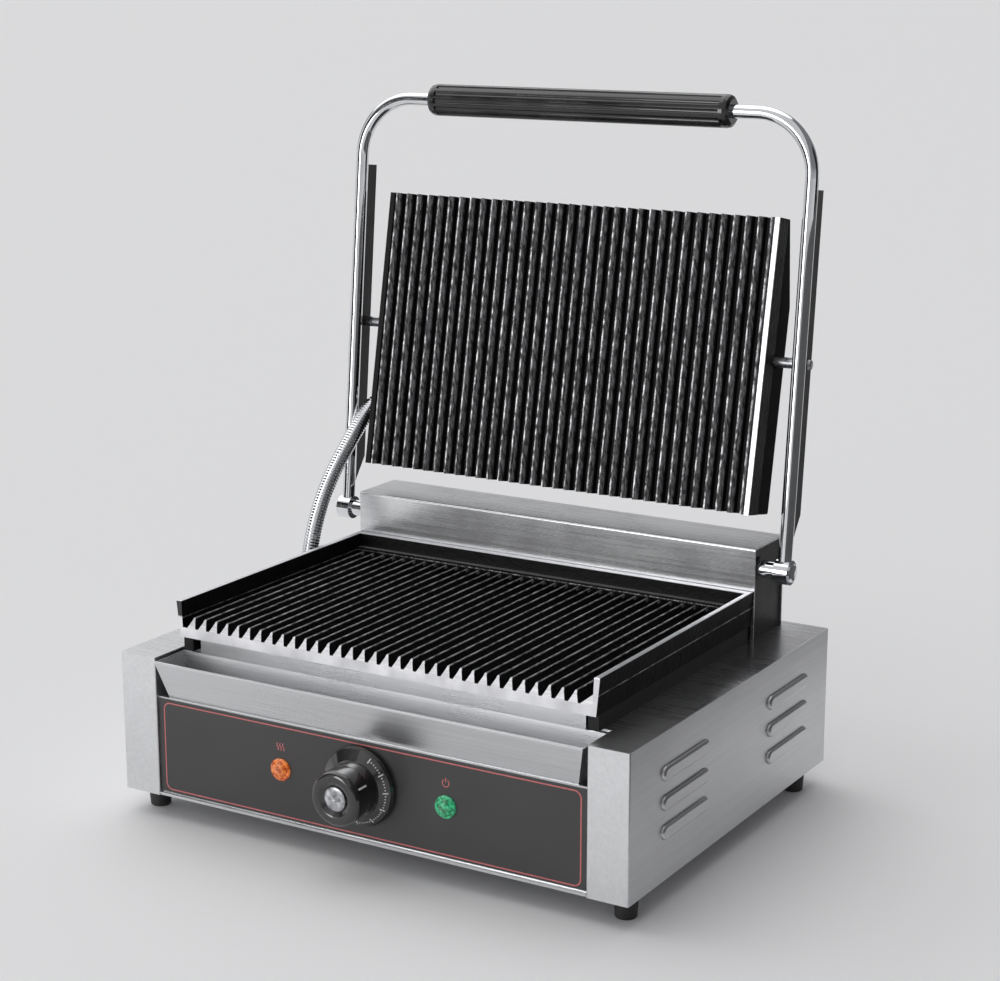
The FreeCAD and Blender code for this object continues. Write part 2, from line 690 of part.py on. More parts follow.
def lower_heating():
    """Element, clamp plate, insulation and heat shield under the lower plate."""
    level = number(D["plate_bottom"] - D["element_radius"]) - 0.1
    shift = FreeCAD.Placement(FreeCAD.Vector(0, -7, 0), FreeCAD.Rotation())
    heating_element("lower_heater", 125, 68, level, 16, shift)
    clamp = new_body("lower_heater_clamp")
    top = level - number(D["element_radius"]) - 0.1
    add(clamp, "Z", top - 1.5, top, rectangle(-143, 143, -82, 68))
    ends = [rectangle(x - 4.2, x + 4.2, -80, -63.5) for x, y in HEATER_POSTS]
    cut(clamp, "Z", top - 1.5, top, *ends)
    pad = keep(doc.addObject("Part::Cut", "lower_insulation"), "lower_insulation")
    pad.Base = block("insulation_block", -140, 140, -84, 66, deck - 24, deck - 4)
    holes = doc.addObject("Part::MultiFuse", "insulation_holes")
    holes.Shapes = [post_hole(x, y, 5) for x, y in HEATER_POSTS + [(BULB_X, BULB_Y)]]
    pad.Tool = holes
    shield = new_body("heat_shield")
    add(shield, "Z", deck - 25.4, deck - skin - gap, rectangle(-147, 147, -87, 73))
    cut(shield, "Z", deck - 24.2, deck - skin - gap, rectangle(-145.8, 145.8, -85.8, 71.8))
    cut(shield, "Z", deck - 26, deck - 24, circle(BULB_X, BULB_Y, 4),
        *[circle(x, y, 5) for x, y in HEATER_POSTS])


def post_hole(x, y, radius):
    hole = doc.addObject("Part::Cylinder", "insulation_hole")
    hole.Radius = radius
    bind(hole, "Height", D["body_height"])
    place(hole, x, y, bottom)
    return hole


# ---------------------------------------------------------------- controls

def thermostat():
    """The thermostat's housing with its threaded neck, and its sensing bulb on a thin lead."""
    y0 = number(panel_front + skin)
    z = D["knob_height"]
    body = new_body("thermostat_housing")
    add(body, "Y", y0 + 0.2, y0 + 32, rectangle(-18, 18, z - 17, z + 17))
    add(body, "Y", y0 - 4.2, y0 + 0.3, circle(0, z, 4.9))
    cut(body, "Y", y0 - 4.5, y0 + 20, circle(0, z, 3.0 + D["running_gap"]))
    x, y = BULB_X, BULB_Y
    bulb_low, bulb_high = 100, number(D["plate_bottom"]) - 8.8
    route = [(10, y0 + 32, number(z)), (10, y0 + 52, number(z)), (x, y - 20, 67), (x, y, 85),
             (x, y, bulb_low + 1)]
    lead = round_bar(route, [12, 12, 9], 1.0)
    bulb = Part.makeCylinder(3.0, bulb_high - bulb_low, FreeCAD.Vector(x, y, bulb_low))
    shape_part("thermostat_capillary", lead.fuse(bulb))


def at_knob(item):
    """Place a turned control piece on the knob's axis, its own Z axis towards the user."""
    place(item, 0, front - 0.2, D["knob_height"], -AXES["Y"])


def ring_edge(radius, height):
    """A test for the circular edge of a turned piece at a radius and height."""
    return lambda edge, p: abs(math.hypot(p.x, p.y) - radius) < 0.01 and abs(p.z - height) < 0.01


def knob():
    """The knob: dial skirt, dished cap, metal insert, and the thermostat's turning shaft."""
    skirt = new_body("knob_skirt")
    turn(skirt, [(3.1, 0), (28, 0), (28.2, 1.2), (27.2, 3.2), (20.4, 7.2), (3.1, 7.2)])
    at_knob(skirt)
    cap = new_body("knob_cap")
    rim, crown = 19.3, 30.6
    turn(cap, [(3.1, 7.3), (20.2, 7.3), (19.2, 15), (rim, crown), (12.4, crown), (8.8, 28.4), (3.1, 28.4)])
    round_edges(cap, 4.0, ring_edge(rim, crown))
    round_edges(cap, 2.6, ring_edge(12.4, crown))
    at_knob(cap)
    insert = new_body("knob_insert")
    turn(insert, [(0, 28.5), (8.4, 28.5), (8.4, 29.2), (7.2, 29.8), (0, 30.1)])
    at_knob(insert)
    shaft = new_body("thermostat_shaft")
    turn(shaft, [(0, -20), (3, -20), (3, 28.3), (0, 28.3)])
    at_knob(shaft)


def lamp(label, side):
    """An indicator lamp: a holder with a collar in front of the panel, and a faceted lens."""
    holder = new_body(label + "_holder")
    turn(holder, [(0, -22), (4.6, -22), (5.2, -20), (5.2, 0.82), (8.0, 0.82), (8.0, 2.0), (7.2, 2.9),
                  (6.3, 2.9), (6.3, 1.6), (0, 1.6)])
    lens = new_body(label + "_lens")
    turn(lens, [(0, 1.7), (6.2, 1.7), (6.2, 3.6), (5.2, 5.2), (3.2, 6.3), (0, 6.6)])
    for item in (holder, lens):
        place(item, side * D["lamp_spacing"] / 2, panel_front, D["lamp_height"], -AXES["Y"])


def wiring_parts():
    """Ceramic terminal block on the casing's floor, and the gland where the mains lead enters."""
    low = bottom + skin
    terminals = keep(doc.addObject("Part::Cut", "terminal_block"), "terminal_block")
    terminals.Base = block("terminal_base", 120, 162, 104, 128, low, low + 20)
    bores = doc.addObject("Part::MultiFuse", "terminal_bores")
    bores.Shapes = [terminal_bore(x) for x in (128, 141, 154)]
    terminals.Tool = bores
    gland = new_body("cable_gland")
    turn(gland, [(4.2, -10), (8.0, -10), (8.0, 0.05), (11.5, 0.05), (11.5, 4.2), (10.2, 5.0),
                 (10.2, 14), (8.6, 17.4), (6.2, 18.8), (4.2, 18.8)])
    place(gland, INLET_X, back, INLET_Z, AXES["Y"])


def terminal_bore(x):
    bore = doc.addObject("Part::Cylinder", "terminal_bore")
    bore.Radius = 3
    bore.Height = 40
    place(bore, x, 96, bottom + skin + 11, AXES["Y"])
    return bore


# ---------------------------------------------------------------- hinge housing

def riser_cover():
    """The bent sheet over the hinge: front, top and rear in one piece, open at its ends."""
    body = new_body("riser_cover")
    y0, y1, top = D["riser_front"], riser_back, D["riser_top"]
    profile = [(y0, deck), (y0 + skin, deck), (y0 + skin, top - skin), (y1 - skin, top - skin),
               (y1 - skin, deck), (y1, deck), (y1, top), (y0, top)]
    add(body, "X", -D["riser_half"], D["riser_half"], profile)
    crown = number(top)
    round_edges(body, 1.6, lambda edge, p: along(edge, "X", 90) and abs(p.z - crown) < 0.01)
    return body


def hinge_bracket(side, label):
    """A steel cheek inside each end of the housing, with a foot flange and the bush's hole."""
    body = new_body(label)
    y0, y1 = D["riser_front"] + skin + 0.4, riser_back - skin - 0.4
    top = D["riser_top"] - skin - 0.4
    x0, x1 = mirrored_span(side, D["riser_half"] - 4.4, D["riser_half"] - 1.4)
    add(body, "X", x0, x1, rectangle(y0, y1, deck, top))
    x2, x3 = mirrored_span(side, D["riser_half"] - 24, D["riser_half"] - 4)
    add(body, "Z", deck, deck + 3, rectangle(x2, x3, y0 + 2, y1 - 2))
    cut(body, "X", x0, x1, circle(D["hinge_y"], D["hinge_z"], 6.6))
    spots = [circle(x, y, 2.6) for x, y in bracket_screw_spots if x * side > 0]
    cut(body, "Z", deck, deck + 3, *spots)
    return body


def hinge_hardware():
    """Bushes in the cheeks, and the screws that hold the cheeks to the deck."""
    bush = hidden_body("hinge_bush_pattern")
    bore = D["shaft_radius"] + D["running_gap"]
    turn(bush, [(bore, -3.4), (6.55, -3.4), (6.55, 0), (8.4, 0), (8.4, 1.2), (bore, 1.2)])
    mirrored_pair("hinge_bushes", bush, D["riser_half"] - 1.4, D["hinge_y"], D["hinge_z"])
    screw = hidden_body("bracket_screw_pattern")
    turn(screw, [(0, -3.5), (2.5, -3.5), (2.5, 3.0), (4.2, 3.0), (3.8, 4.8), (0, 5.4)])
    group("bracket_screws", screw, [(x, y, deck) for x, y in bracket_screw_spots])


def counterbalance_springs():
    """Two torsion springs of round wire about the shaft, near its ends."""
    wire, coil_radius, turns, end = 1.4, 7.0, 9, 120
    pitch = wire * 2 + 0.5
    helix = Part.makeHelix(pitch, pitch * turns, coil_radius)
    ring = Part.Wire(Part.Circle(AXES["X"] * coil_radius, AXES["Y"], wire).toShape())
    coil = Part.Wire(helix.Edges).makePipeShell([ring], True, True)
    copies = []
    for start in (-end, end - pitch * turns):
        copy = coil.copy()
        spot = FreeCAD.Vector(start, number(D["hinge_y"]), number(D["hinge_z"]))
        copy.Placement = FreeCAD.Placement(spot, FreeCAD.Rotation(AXES["Z"], AXES["X"]))
        copies.append(copy)
    shape_part("counterbalance_springs", Part.makeCompound(copies))


# ---------------------------------------------------------------- lift handle

def hinge_placement():
    """The arms' own frame: its origin on the hinge axis, leaning back by the arms' angle."""
    return FreeCAD.Placement(FreeCAD.Vector(0, number(D["hinge_y"]), number(D["hinge_z"])),
                             FreeCAD.Rotation(-AXES["X"], number(D["arm_lean"])))


def on_hinge(item):
    """Place an arm piece in the arms' own frame."""
    item.Placement = hinge_placement()
    place(item, 0, D["hinge_y"], D["hinge_z"])
    return item


def lift_handle():
    """The U-shaped rod, with a flat eye at each lower end for the hinge shaft."""
    half, reach, radius = number(D["arm_half"]), number(D["arm_reach"]), number(D["shaft_radius"])
    bend = number(D["arm_bend"])
    eye_radius, eye_half, rod_end = 9.0, 5.5, 8
    points = [(-half, 0, rod_end), (-half, 0, reach), (half, 0, reach), (half, 0, rod_end)]
    rod = round_bar(points, [bend, bend], radius)
    for side in (-1, 1):
        start = FreeCAD.Vector(side * half - eye_half, 0, 0)
        rod = rod.fuse(Part.makeCylinder(eye_radius, eye_half * 2, start, AXES["X"]))
    for side in (-1, 1):
        start = FreeCAD.Vector(side * half - eye_half - 1, 0, 0)
        rod = rod.cut(Part.makeCylinder(radius, eye_half * 2 + 2, start, AXES["X"]))
    shape_part("lift_handle", rod.removeSplitter(), hinge_placement())


def arm_bar(side, label):
    """The flat bar welded behind an arm's rod; it carries the lid's pivot pin."""
    body = new_body(label)
    x0, x1 = mirrored_span(side, D["arm_half"] - D["bar_thick"] / 2, D["arm_half"] + D["bar_thick"] / 2)
    near = D["shaft_radius"]
    far = near + D["bar_depth"]
    low, low_far, high = 20, 40, 272
    add(body, "X", x0, x1, [(near, low), (far, low_far), (far, high), (near, high)])
    cut(body, "X", x0, x1, circle(D["pivot_back"], D["pivot_reach"], 2.5))
    return on_hinge(body)


def pivot_pins():
    """Shouldered pins, riveted in the flat bars, on which the lid turns."""
    thick = D["bar_thick"]
    pin = hidden_body("pivot_pin_pattern")
    turn(pin, [(0, -36), (3.0, -36), (3.5, -35.4), (3.5, -23), (3.9, -22.8), (3.9, 0), (2.5, 0),
               (2.5, thick), (4.0, thick), (3.4, thick + 1.8), (0, thick + 2.2)])
    inner_face = D["arm_half"] - thick / 2
    mirrored_pair("pivot_pins", pin, inner_face, D["pivot_back"], D["pivot_reach"], hinge_placement())


def grip():
    """The grip: a fluted plastic sleeve on the handle's crossbar."""
    body = new_body("handle_grip")
    half, radius, bore = D["grip_half"], D["grip_radius"], D["shaft_radius"]
    turn(body, [(bore, -half), (radius - 3.2, -half), (radius - 0.8, -half + 1.6), (radius, -half + 4),
                (radius, half - 4), (radius - 0.8, half - 1.6), (radius - 3.2, half), (bore, half)])
    flute = cut(body, "Z", -half + 7, half - 7, circle(radius + 1.1, 0, 2.4))
    ring = body.newObject("PartDesign::PolarPattern", "handle_grip_flutes")
    ring.Originals = [flute]
    ring.Axis = (origin_feature(body, "Z_Axis"), [""])
    ring.Angle = 360
    ring.Occurrences = 12
    body.Tip = ring
    place(body, 0, D["hinge_y"] + D["arm_reach"] * sine(D["arm_lean"]),
          D["hinge_z"] + D["arm_reach"] * cosine(D["arm_lean"]), AXES["X"])


def hinge_shaft():
    """The shaft through both cheeks, with collars inside and spacers and cap nuts outside."""
    shaft = new_body("hinge_shaft")
    radius, end = D["shaft_radius"], D["arm_half"] + 6
    turn(shaft, [(0, -end), (radius, -end), (radius, end), (0, end)])
    place(shaft, 0, D["hinge_y"], D["hinge_z"], AXES["X"])
    rings = {
        "hinge_spacers": (172.9, [(5, 0), (6.3, 0), (6.3, 11.5), (5, 11.5)]),
        "shaft_collars": (158.5, [(5, 0), (8.0, 0), (8.0, 7.0), (5, 7.0)]),
        "cap_nuts": (195.6, [(0, 0.6), (5, 0.6), (5, 0), (6.8, 0), (6.8, 0.8), (5.4, 2.0), (0, 2.4)]),
    }
    for label, (start, profile) in rings.items():
        ring = hidden_body(label + "_pattern")
        turn(ring, profile)
        mirrored_pair(label, ring, start, D["hinge_y"], D["hinge_z"])


# ---------------------------------------------------------------- lid, in a frame on its pivot

def pivot_placement():
    """The lid's own frame: its origin on the pivot axis, leaning back by the lid's angle."""
    return FreeCAD.Placement(FreeCAD.Vector(0, number(pivot_y), number(pivot_z)),
                             FreeCAD.Rotation(-AXES["X"], number(D["lid_lean"])))


def on_pivot(item):
    """Place a lid piece in the lid's own frame."""
    item.Placement = pivot_placement()
    place(item, 0, pivot_y, pivot_z)
    return item


def upper_plate():
    """The cast lid plate: ribs in front, and lugs for the pivot bushes and cover posts behind."""
    body = new_body("upper_plate")
    half, low, high = D["lid_half"], -D["lid_below"], D["lid_above"]
    root = D["lid_face"] + D["rib_rise"]
    slab_back = root + 8.6
    add(body, "Y", root, slab_back, rectangle(-half, half, low, high))
    round_edges(body, 1.8, lambda edge, p: along(edge, "X") and abs(p.y - number(root)) < 0.01)
    border = half - D["lid_border"]
    border_face = D["lid_face"] + 0.6
    add(body, "Y", border_face, slab_back, rectangle(border, half, low, high),
        rectangle(-half, -border, low, high))
    round_edges(body, 0.7, lambda edge, p: along(edge, "Z") and abs(p.y - number(border_face)) < 0.01)
    lug_reach = 9
    lug = rectangle(half - 15, half - 1.7, -lug_reach, lug_reach)
    mirror_lug = rectangle(-half + 1.7, -half + 15, -lug_reach, lug_reach)
    add(body, "Y", slab_back - 1, lug_reach, lug, mirror_lug)
    posts = [circle(x, z, 4.6) for x, z in COVER_SCREW_SPOTS]
    add(body, "Y", slab_back - 1, D["lid_back"] - D["lid_wall"] - 0.1, *posts)
    first = add(body, "Z", low, high, rib_outline(-lid_span / 2, root, -1))
    row_of(body, first, "X", lid_span, D["lid_count"])
    cut(body, "X", half - 16, half, circle(0, 0, 5.0))
    cut(body, "X", -half, -half + 16, circle(0, 0, 5.0))
    cut(body, "Y", 7, D["lid_back"], *[circle(x, z, 2.0) for x, z in COVER_SCREW_SPOTS])
    return on_pivot(body)


def upper_cover():
    """The pressed cover over the lid's element: full depth, then sloping down at its free end."""
    body = new_body("upper_cover")
    half, low, high = D["lid_half"], -D["lid_below"], D["lid_above"]
    base = D["lid_face"] + D["rib_rise"] + 8.7
    rear, wall, fold = D["lid_back"], D["lid_wall"], D["lid_break"]
    outer = [(base, low), (rear, low), (rear, fold), (base + 3, high), (base, high)]
    inner = [(base - 1, low + wall), (rear - wall, low + wall), (rear - wall, fold - 1),
             (base + 2.6, high - wall * 2), (base - 1, high - wall * 2)]
    add(body, "X", -half, half, outer)
    round_edges(body, 1.4, lambda edge, p: p.y > number(base) + 2)
    cut(body, "X", -half + wall, half - wall, inner)
    cut(body, "X", -half - 1, half + 1, circle(0, 0, 5.0))
    cut(body, "X", -half - 1, -half + wall + 1, circle(LID_GLAND_Y, LID_GLAND_Z, 7.0))
    cut(body, "Y", rear - wall - 1, rear + 1, *[circle(x, z, 2.2) for x, z in COVER_SCREW_SPOTS])
    return on_pivot(body)


def lid_hardware():
    """Pivot bushes, the element with its clamp and insulation, and the cover's screws."""
    bush = hidden_body("pivot_bush_pattern")
    bore = 3.5 + D["running_gap"]
    turn(bush, [(bore, 0), (4.95, 0), (4.95, 13.0), (bore, 13.0)])
    mirrored_pair("pivot_bushes", bush, D["lid_half"] - 14.9, 0, 0, pivot_placement())
    face = number(D["lid_face"] + D["rib_rise"]) + 8.6
    radius = number(D["element_radius"])
    swing, drop = 122, 24
    element = heating_element("upper_heater", swing, 66, -face - radius - 0.1, 10, upright=True)
    shift = FreeCAD.Placement(FreeCAD.Vector(0, 0, -drop), FreeCAD.Rotation())
    element.Placement = pivot_placement().multiply(shift)
    clamp = new_body("upper_heater_clamp")
    level = face + 2 * radius + 0.2
    add(clamp, "Y", level, level + 1.2, rectangle(-134, 134, -100, 50))
    ends = [rectangle(x - 4.2, x + 4.2, -95, -78) for x in (-swing, swing)]
    cut(clamp, "Y", level, level + 1.2, *ends)
    on_pivot(clamp)
    padding = new_body("upper_insulation")
    back_face = D["lid_back"] - D["lid_wall"] - 0.2
    add(padding, "Y", level + 1.3, back_face, rectangle(-132, 132, -98, 34))
    cut(padding, "Y", level, D["lid_back"], *[circle(x, -66 - drop, 6) for x in (-swing, swing)])
    on_pivot(padding)
    screw = hidden_body("cover_screw_pattern")
    turn(screw, [(0, -8), (1.95, -8), (1.95, 0.02), (3.8, 0.02), (3.4, 1.6), (2.0, 2.3), (0, 2.4)])
    spots = [(x, D["lid_back"], z) for x, z in COVER_SCREW_SPOTS]
    group("cover_screws", screw, spots, AXES["Y"], pivot_placement())


# ---------------------------------------------------------------- conduit between casing and lid

def conduit():
    """The flexible metal conduit that carries the lid's supply, and its two end glands."""
    radius, bore = number(D["conduit_radius"]), 4.8
    deck_z = number(deck)
    gland = new_body("conduit_gland_deck")
    turn(gland, [(4.0, -8), (7.1, -8), (7.1, 0.02), (9.6, 0.02), (9.6, 5), (8.2, 7), (6.55, 7), (6.55, 3),
                 (4.0, 3)])
    place(gland, CONDUIT_X, CONDUIT_Y, deck, AXES["Z"])
    lid_gland = new_body("conduit_gland_lid")
    turn(lid_gland, [(4.0, -6), (6.9, -6), (6.9, 0.02), (8.3, 0.02), (8.3, 2.6), (7.4, 3.6), (6.55, 3.6),
                     (6.55, 2), (4.0, 2)])
    local = FreeCAD.Vector(-number(D["lid_half"]), LID_GLAND_Y, LID_GLAND_Z)
    spot = pivot_placement().multVec(local)
    place(lid_gland, spot.x, spot.y, spot.z, -AXES["X"])
    low_bend, high_bend = (-186.5, 74, 195), (-178.5, 115, 243)
    middle = tuple((a + b) / 2 for a, b in zip(low_bend, high_bend))
    start = (CONDUIT_X, CONDUIT_Y, deck_z + 3.1)
    lower = [start, (CONDUIT_X, CONDUIT_Y, deck_z + 24), low_bend, middle]
    shape_part("conduit_lower", round_bar(lower, [26, 60], radius, bore))
    upper = [middle, high_bend, (-178, spot.y, spot.z), (spot.x - 2.1, spot.y, spot.z)]
    shape_part("conduit_upper", round_bar(upper, [24, 8.5], radius, bore))


# ---------------------------------------------------------------- build, check and write

def build():
    side_panel(1, "side_panel_right")
    side_panel(-1, "side_panel_left")
    top_deck()
    rear_panel()
    bottom_plate()
    front_panel()
    control_overlay()
    feet()
    casing_screws()
    drip_tray()
    lower_plate()
    plate_frame()
    plate_bolts()
    lower_heating()
    thermostat()
    knob()
    lamp("orange_lamp", -1)
    lamp("green_lamp", 1)
    wiring_parts()
    riser_cover()
    hinge_bracket(1, "hinge_bracket_right")
    hinge_bracket(-1, "hinge_bracket_left")
    hinge_hardware()
    counterbalance_springs()
    lift_handle()
    arm_bar(1, "arm_bar_right")
    arm_bar(-1, "arm_bar_left")
    pivot_pins()
    grip()
    hinge_shaft()
    upper_plate()
    upper_cover()
    lid_hardware()
    conduit()
    doc.recompute()


def check():
    """Stop on a failed object, an empty or invalid shape, or a pocket that removed nothing."""
    for item in doc.Objects:
        states = [state for state in item.State if state in ("Invalid", "Error")]
        if states:
            raise RuntimeError(f"{item.Label}: {states} {item.getStatusString()}")
    for item in SUBPARTS:
        if item.Shape.isNull() or not item.Shape.isValid():
            raise RuntimeError(f"{item.Label}: empty or invalid shape")
        if not item.Shape.Solids:
            raise RuntimeError(f"{item.Label}: no solid")
        if not re.fullmatch("[a-z_]{1,59}", item.Label):
            raise RuntimeError(f"{item.Label}: not a node name")
    for pocket in POCKETS:
        if pocket.Shape.Volume > pocket.BaseFeature.Shape.Volume - 0.01:
            raise RuntimeError(f"{pocket.Label}: removes nothing")


def write():
    os.makedirs("parts", exist_ok=True)
    for item in SUBPARTS:
        item.Shape.exportStep(f"parts/{item.Label}.step")
    print(len(SUBPARTS), "sub-parts written")


build()
check()
write()
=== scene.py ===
"""The looks of the contact grill: materials, printed marks, conduit, light and camera."""

import json
import math

import bmesh
import bpy
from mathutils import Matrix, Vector


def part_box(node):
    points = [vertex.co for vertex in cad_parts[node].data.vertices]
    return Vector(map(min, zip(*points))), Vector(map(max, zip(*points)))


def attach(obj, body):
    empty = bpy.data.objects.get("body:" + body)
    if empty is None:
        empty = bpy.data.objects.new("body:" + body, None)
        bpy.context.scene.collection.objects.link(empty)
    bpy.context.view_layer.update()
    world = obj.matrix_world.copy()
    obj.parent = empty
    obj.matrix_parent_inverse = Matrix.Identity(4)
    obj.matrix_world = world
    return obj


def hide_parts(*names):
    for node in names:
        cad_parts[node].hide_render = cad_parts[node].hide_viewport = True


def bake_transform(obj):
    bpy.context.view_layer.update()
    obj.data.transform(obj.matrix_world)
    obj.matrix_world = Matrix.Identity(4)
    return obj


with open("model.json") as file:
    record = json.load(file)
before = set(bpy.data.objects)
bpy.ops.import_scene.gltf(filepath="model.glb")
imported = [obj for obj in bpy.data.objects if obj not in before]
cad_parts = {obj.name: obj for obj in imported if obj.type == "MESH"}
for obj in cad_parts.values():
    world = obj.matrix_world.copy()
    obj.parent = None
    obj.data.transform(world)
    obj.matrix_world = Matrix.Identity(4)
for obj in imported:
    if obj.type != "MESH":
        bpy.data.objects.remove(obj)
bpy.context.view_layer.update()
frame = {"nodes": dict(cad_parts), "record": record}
MM = 0.001

JOINTS = {joint["name"]: joint for joint in frame["record"]["behaviour"]["joints"]}
PIVOT = Vector(JOINTS["lid_tilt"]["pos_m"])
LID_LEAN = math.radians(10.98)
LID_BACK = Vector((0, math.cos(LID_LEAN), -math.sin(LID_LEAN)))


# ---------------------------------------------------------------- material building blocks

class Paint:
    """A node material, with short helpers for the node patterns used here."""

    def __init__(self, name, **sockets):
        self.material = bpy.data.materials.new(name)
        self.material.use_nodes = True
        self.tree = self.material.node_tree
        self.shader = self.tree.nodes["Principled BSDF"]
        for socket, value in sockets.items():
            self.set(socket.replace("_", " ").capitalize(), value)

    def set(self, socket, value):
        found = [item for item in self.shader.inputs if item.name.lower() == socket.lower()][0]
        if isinstance(value, bpy.types.NodeSocket):
            self.tree.links.new(value, found)
        elif found.type == "RGBA":
            found.default_value = (*value, 1.0)
        else:
            found.default_value = value

    def node(self, kind, **options):
        made = self.tree.nodes.new(kind)
        for key, value in options.items():
            setattr(made, key, value)
        return made

    def feed(self, node, socket, value):
        """Connect a socket to another, or set its number, vector or colour."""
        target = node.inputs[socket]
        if isinstance(value, bpy.types.NodeSocket):
            self.tree.links.new(value, target)
        elif target.type == "RGBA" and len(value) == 3:
            target.default_value = (*value, 1.0)
        else:
            target.default_value = value

    def place(self, scale=(1, 1, 1), turn=(0, 0, 0)):
        """Object coordinates, stretched and turned."""
        coordinates = self.node("ShaderNodeTexCoord")
        mapping = self.node("ShaderNodeMapping")
        self.feed(mapping, "Vector", coordinates.outputs["Object"])
        self.feed(mapping, "Scale", scale)
        self.feed(mapping, "Rotation", turn)
        return mapping.outputs["Vector"]

    def noise(self, scale, detail=3.0, rough=0.5, stretch=(1, 1, 1), turn=(0, 0, 0)):
        made = self.node("ShaderNodeTexNoise")
        self.feed(made, "Vector", self.place(stretch, turn))
        self.feed(made, "Scale", scale)
        self.feed(made, "Detail", detail)
        self.feed(made, "Roughness", rough)
        return made.outputs["Fac"]

    def cells(self, scale, stretch=(1, 1, 1)):
        made = self.node("ShaderNodeTexVoronoi")
        self.feed(made, "Vector", self.place(stretch))
        self.feed(made, "Scale", scale)
        return made.outputs["Distance"]

    def math(self, operation, first, second=0.0, clamp=False):
        made = self.node("ShaderNodeMath", operation=operation, use_clamp=clamp)
        self.feed(made, 0, first)
        self.feed(made, 1, second)
        return made.outputs[0]

    def span(self, value, low, high, out_low=0.0, out_high=1.0):
        """Map a value from one range to another, clamped."""
        made = self.node("ShaderNodeMapRange")
        for socket, number in (("Value", value), ("From Min", low), ("From Max", high),
                               ("To Min", out_low), ("To Max", out_high)):
            self.feed(made, socket, number)
        return made.outputs["Result"]

    def mix(self, share, first, second):
        made = self.node("ShaderNodeMix", data_type="RGBA")
        self.feed(made, 0, share)
        self.feed(made, 6, first if isinstance(first, bpy.types.NodeSocket) else (*first, 1.0))
        self.feed(made, 7, second if isinstance(second, bpy.types.NodeSocket) else (*second, 1.0))
        return made.outputs[2]

    def blend(self, share, first, second):
        """A plain number between two others."""
        made = self.node("ShaderNodeMix", data_type="FLOAT")
        self.feed(made, 0, share)
        self.feed(made, 2, first)
        self.feed(made, 3, second)
        return made.outputs[0]

    def bump(self, height, depth, strength=1.0, onto=None):
        made = self.node("ShaderNodeBump")
        self.feed(made, "Height", height)
        self.feed(made, "Distance", depth)
        self.feed(made, "Strength", strength)
        if onto is not None:
            self.feed(made, "Normal", onto)
        return made.outputs["Normal"]

    def along(self, origin, axis):
        """Distance from a point along an axis, in metres, in the rest position."""
        coordinates = self.node("ShaderNodeTexCoord")
        moved = self.node("ShaderNodeVectorMath", operation="SUBTRACT")
        self.feed(moved, 0, coordinates.outputs["Object"])
        self.feed(moved, 1, tuple(origin))
        dot = self.node("ShaderNodeVectorMath", operation="DOT_PRODUCT")
        self.feed(dot, 0, moved.outputs[0])
        self.feed(dot, 1, tuple(axis))
        return dot.outputs["Value"]

    def facing(self, axis):
        """How far the true surface normal points along an axis of the piece."""
        geometry = self.node("ShaderNodeNewGeometry")
        turned = self.node("ShaderNodeVectorTransform", vector_type="NORMAL",
                           convert_from="WORLD", convert_to="OBJECT")
        self.feed(turned, 0, geometry.outputs["True Normal"])
        dot = self.node("ShaderNodeVectorMath", operation="DOT_PRODUCT")
        self.feed(dot, 0, turned.outputs[0])
        self.feed(dot, 1, tuple(axis))
        return dot.outputs["Value"]


def brushed_steel(name, stretch, tone=0.66, rough=0.28):
    """Stainless sheet: hair-fine streaks along one axis, cloudy rolling marks and faint smudges."""
    paint = Paint(name, metallic=1.0)
    streaks = paint.noise(1.0, 4.0, 0.6, stretch)
    bands = paint.noise(1.0, 2.0, 0.5, tuple(s * 0.15 for s in stretch))
    cloud = paint.noise(7.0, 4.0, 0.6)
    lines = paint.span(paint.blend(0.35, streaks, bands), 0.35, 0.65)
    paint.set("Base Color", paint.mix(lines, steel_colour(tone * 0.90), steel_colour(tone * 1.06)))
    grain = paint.math("ADD", paint.blend(lines, 0.0, 0.06), paint.span(cloud, 0.35, 0.75, 0, 0.10))
    paint.set("Roughness", paint.math("ADD", grain, rough - 0.06))
    fine = paint.bump(streaks, 0.00002, 0.3)
    paint.set("Normal", paint.bump(cloud, 0.002, 0.06, fine))
    return paint.material


def steel_colour(tone):
    """The slightly cold grey of stainless steel."""
    return (tone, tone * 1.008, tone * 1.025)


def polished_chrome():
    """Chrome on steel: bright, with faint waviness, dust haze and hairline wipes."""
    paint = Paint("chrome_plate", metallic=1.0)
    haze = paint.noise(40.0, 4.0, 0.6)
    wipes = paint.noise(1.0, 4.0, 0.6, (900, 900, 60))
    paint.set("Base Color", paint.mix(paint.span(haze, 0.4, 0.8), (0.80, 0.81, 0.83), (0.66, 0.67, 0.69)))
    paint.set("Roughness", paint.math("ADD", paint.span(haze, 0.4, 0.8, 0.04, 0.12),
                                      paint.span(wipes, 0.55, 0.8, 0.0, 0.07)))
    paint.set("Normal", paint.bump(paint.noise(22.0, 1.0), 0.0006, 0.25))
    return paint.material


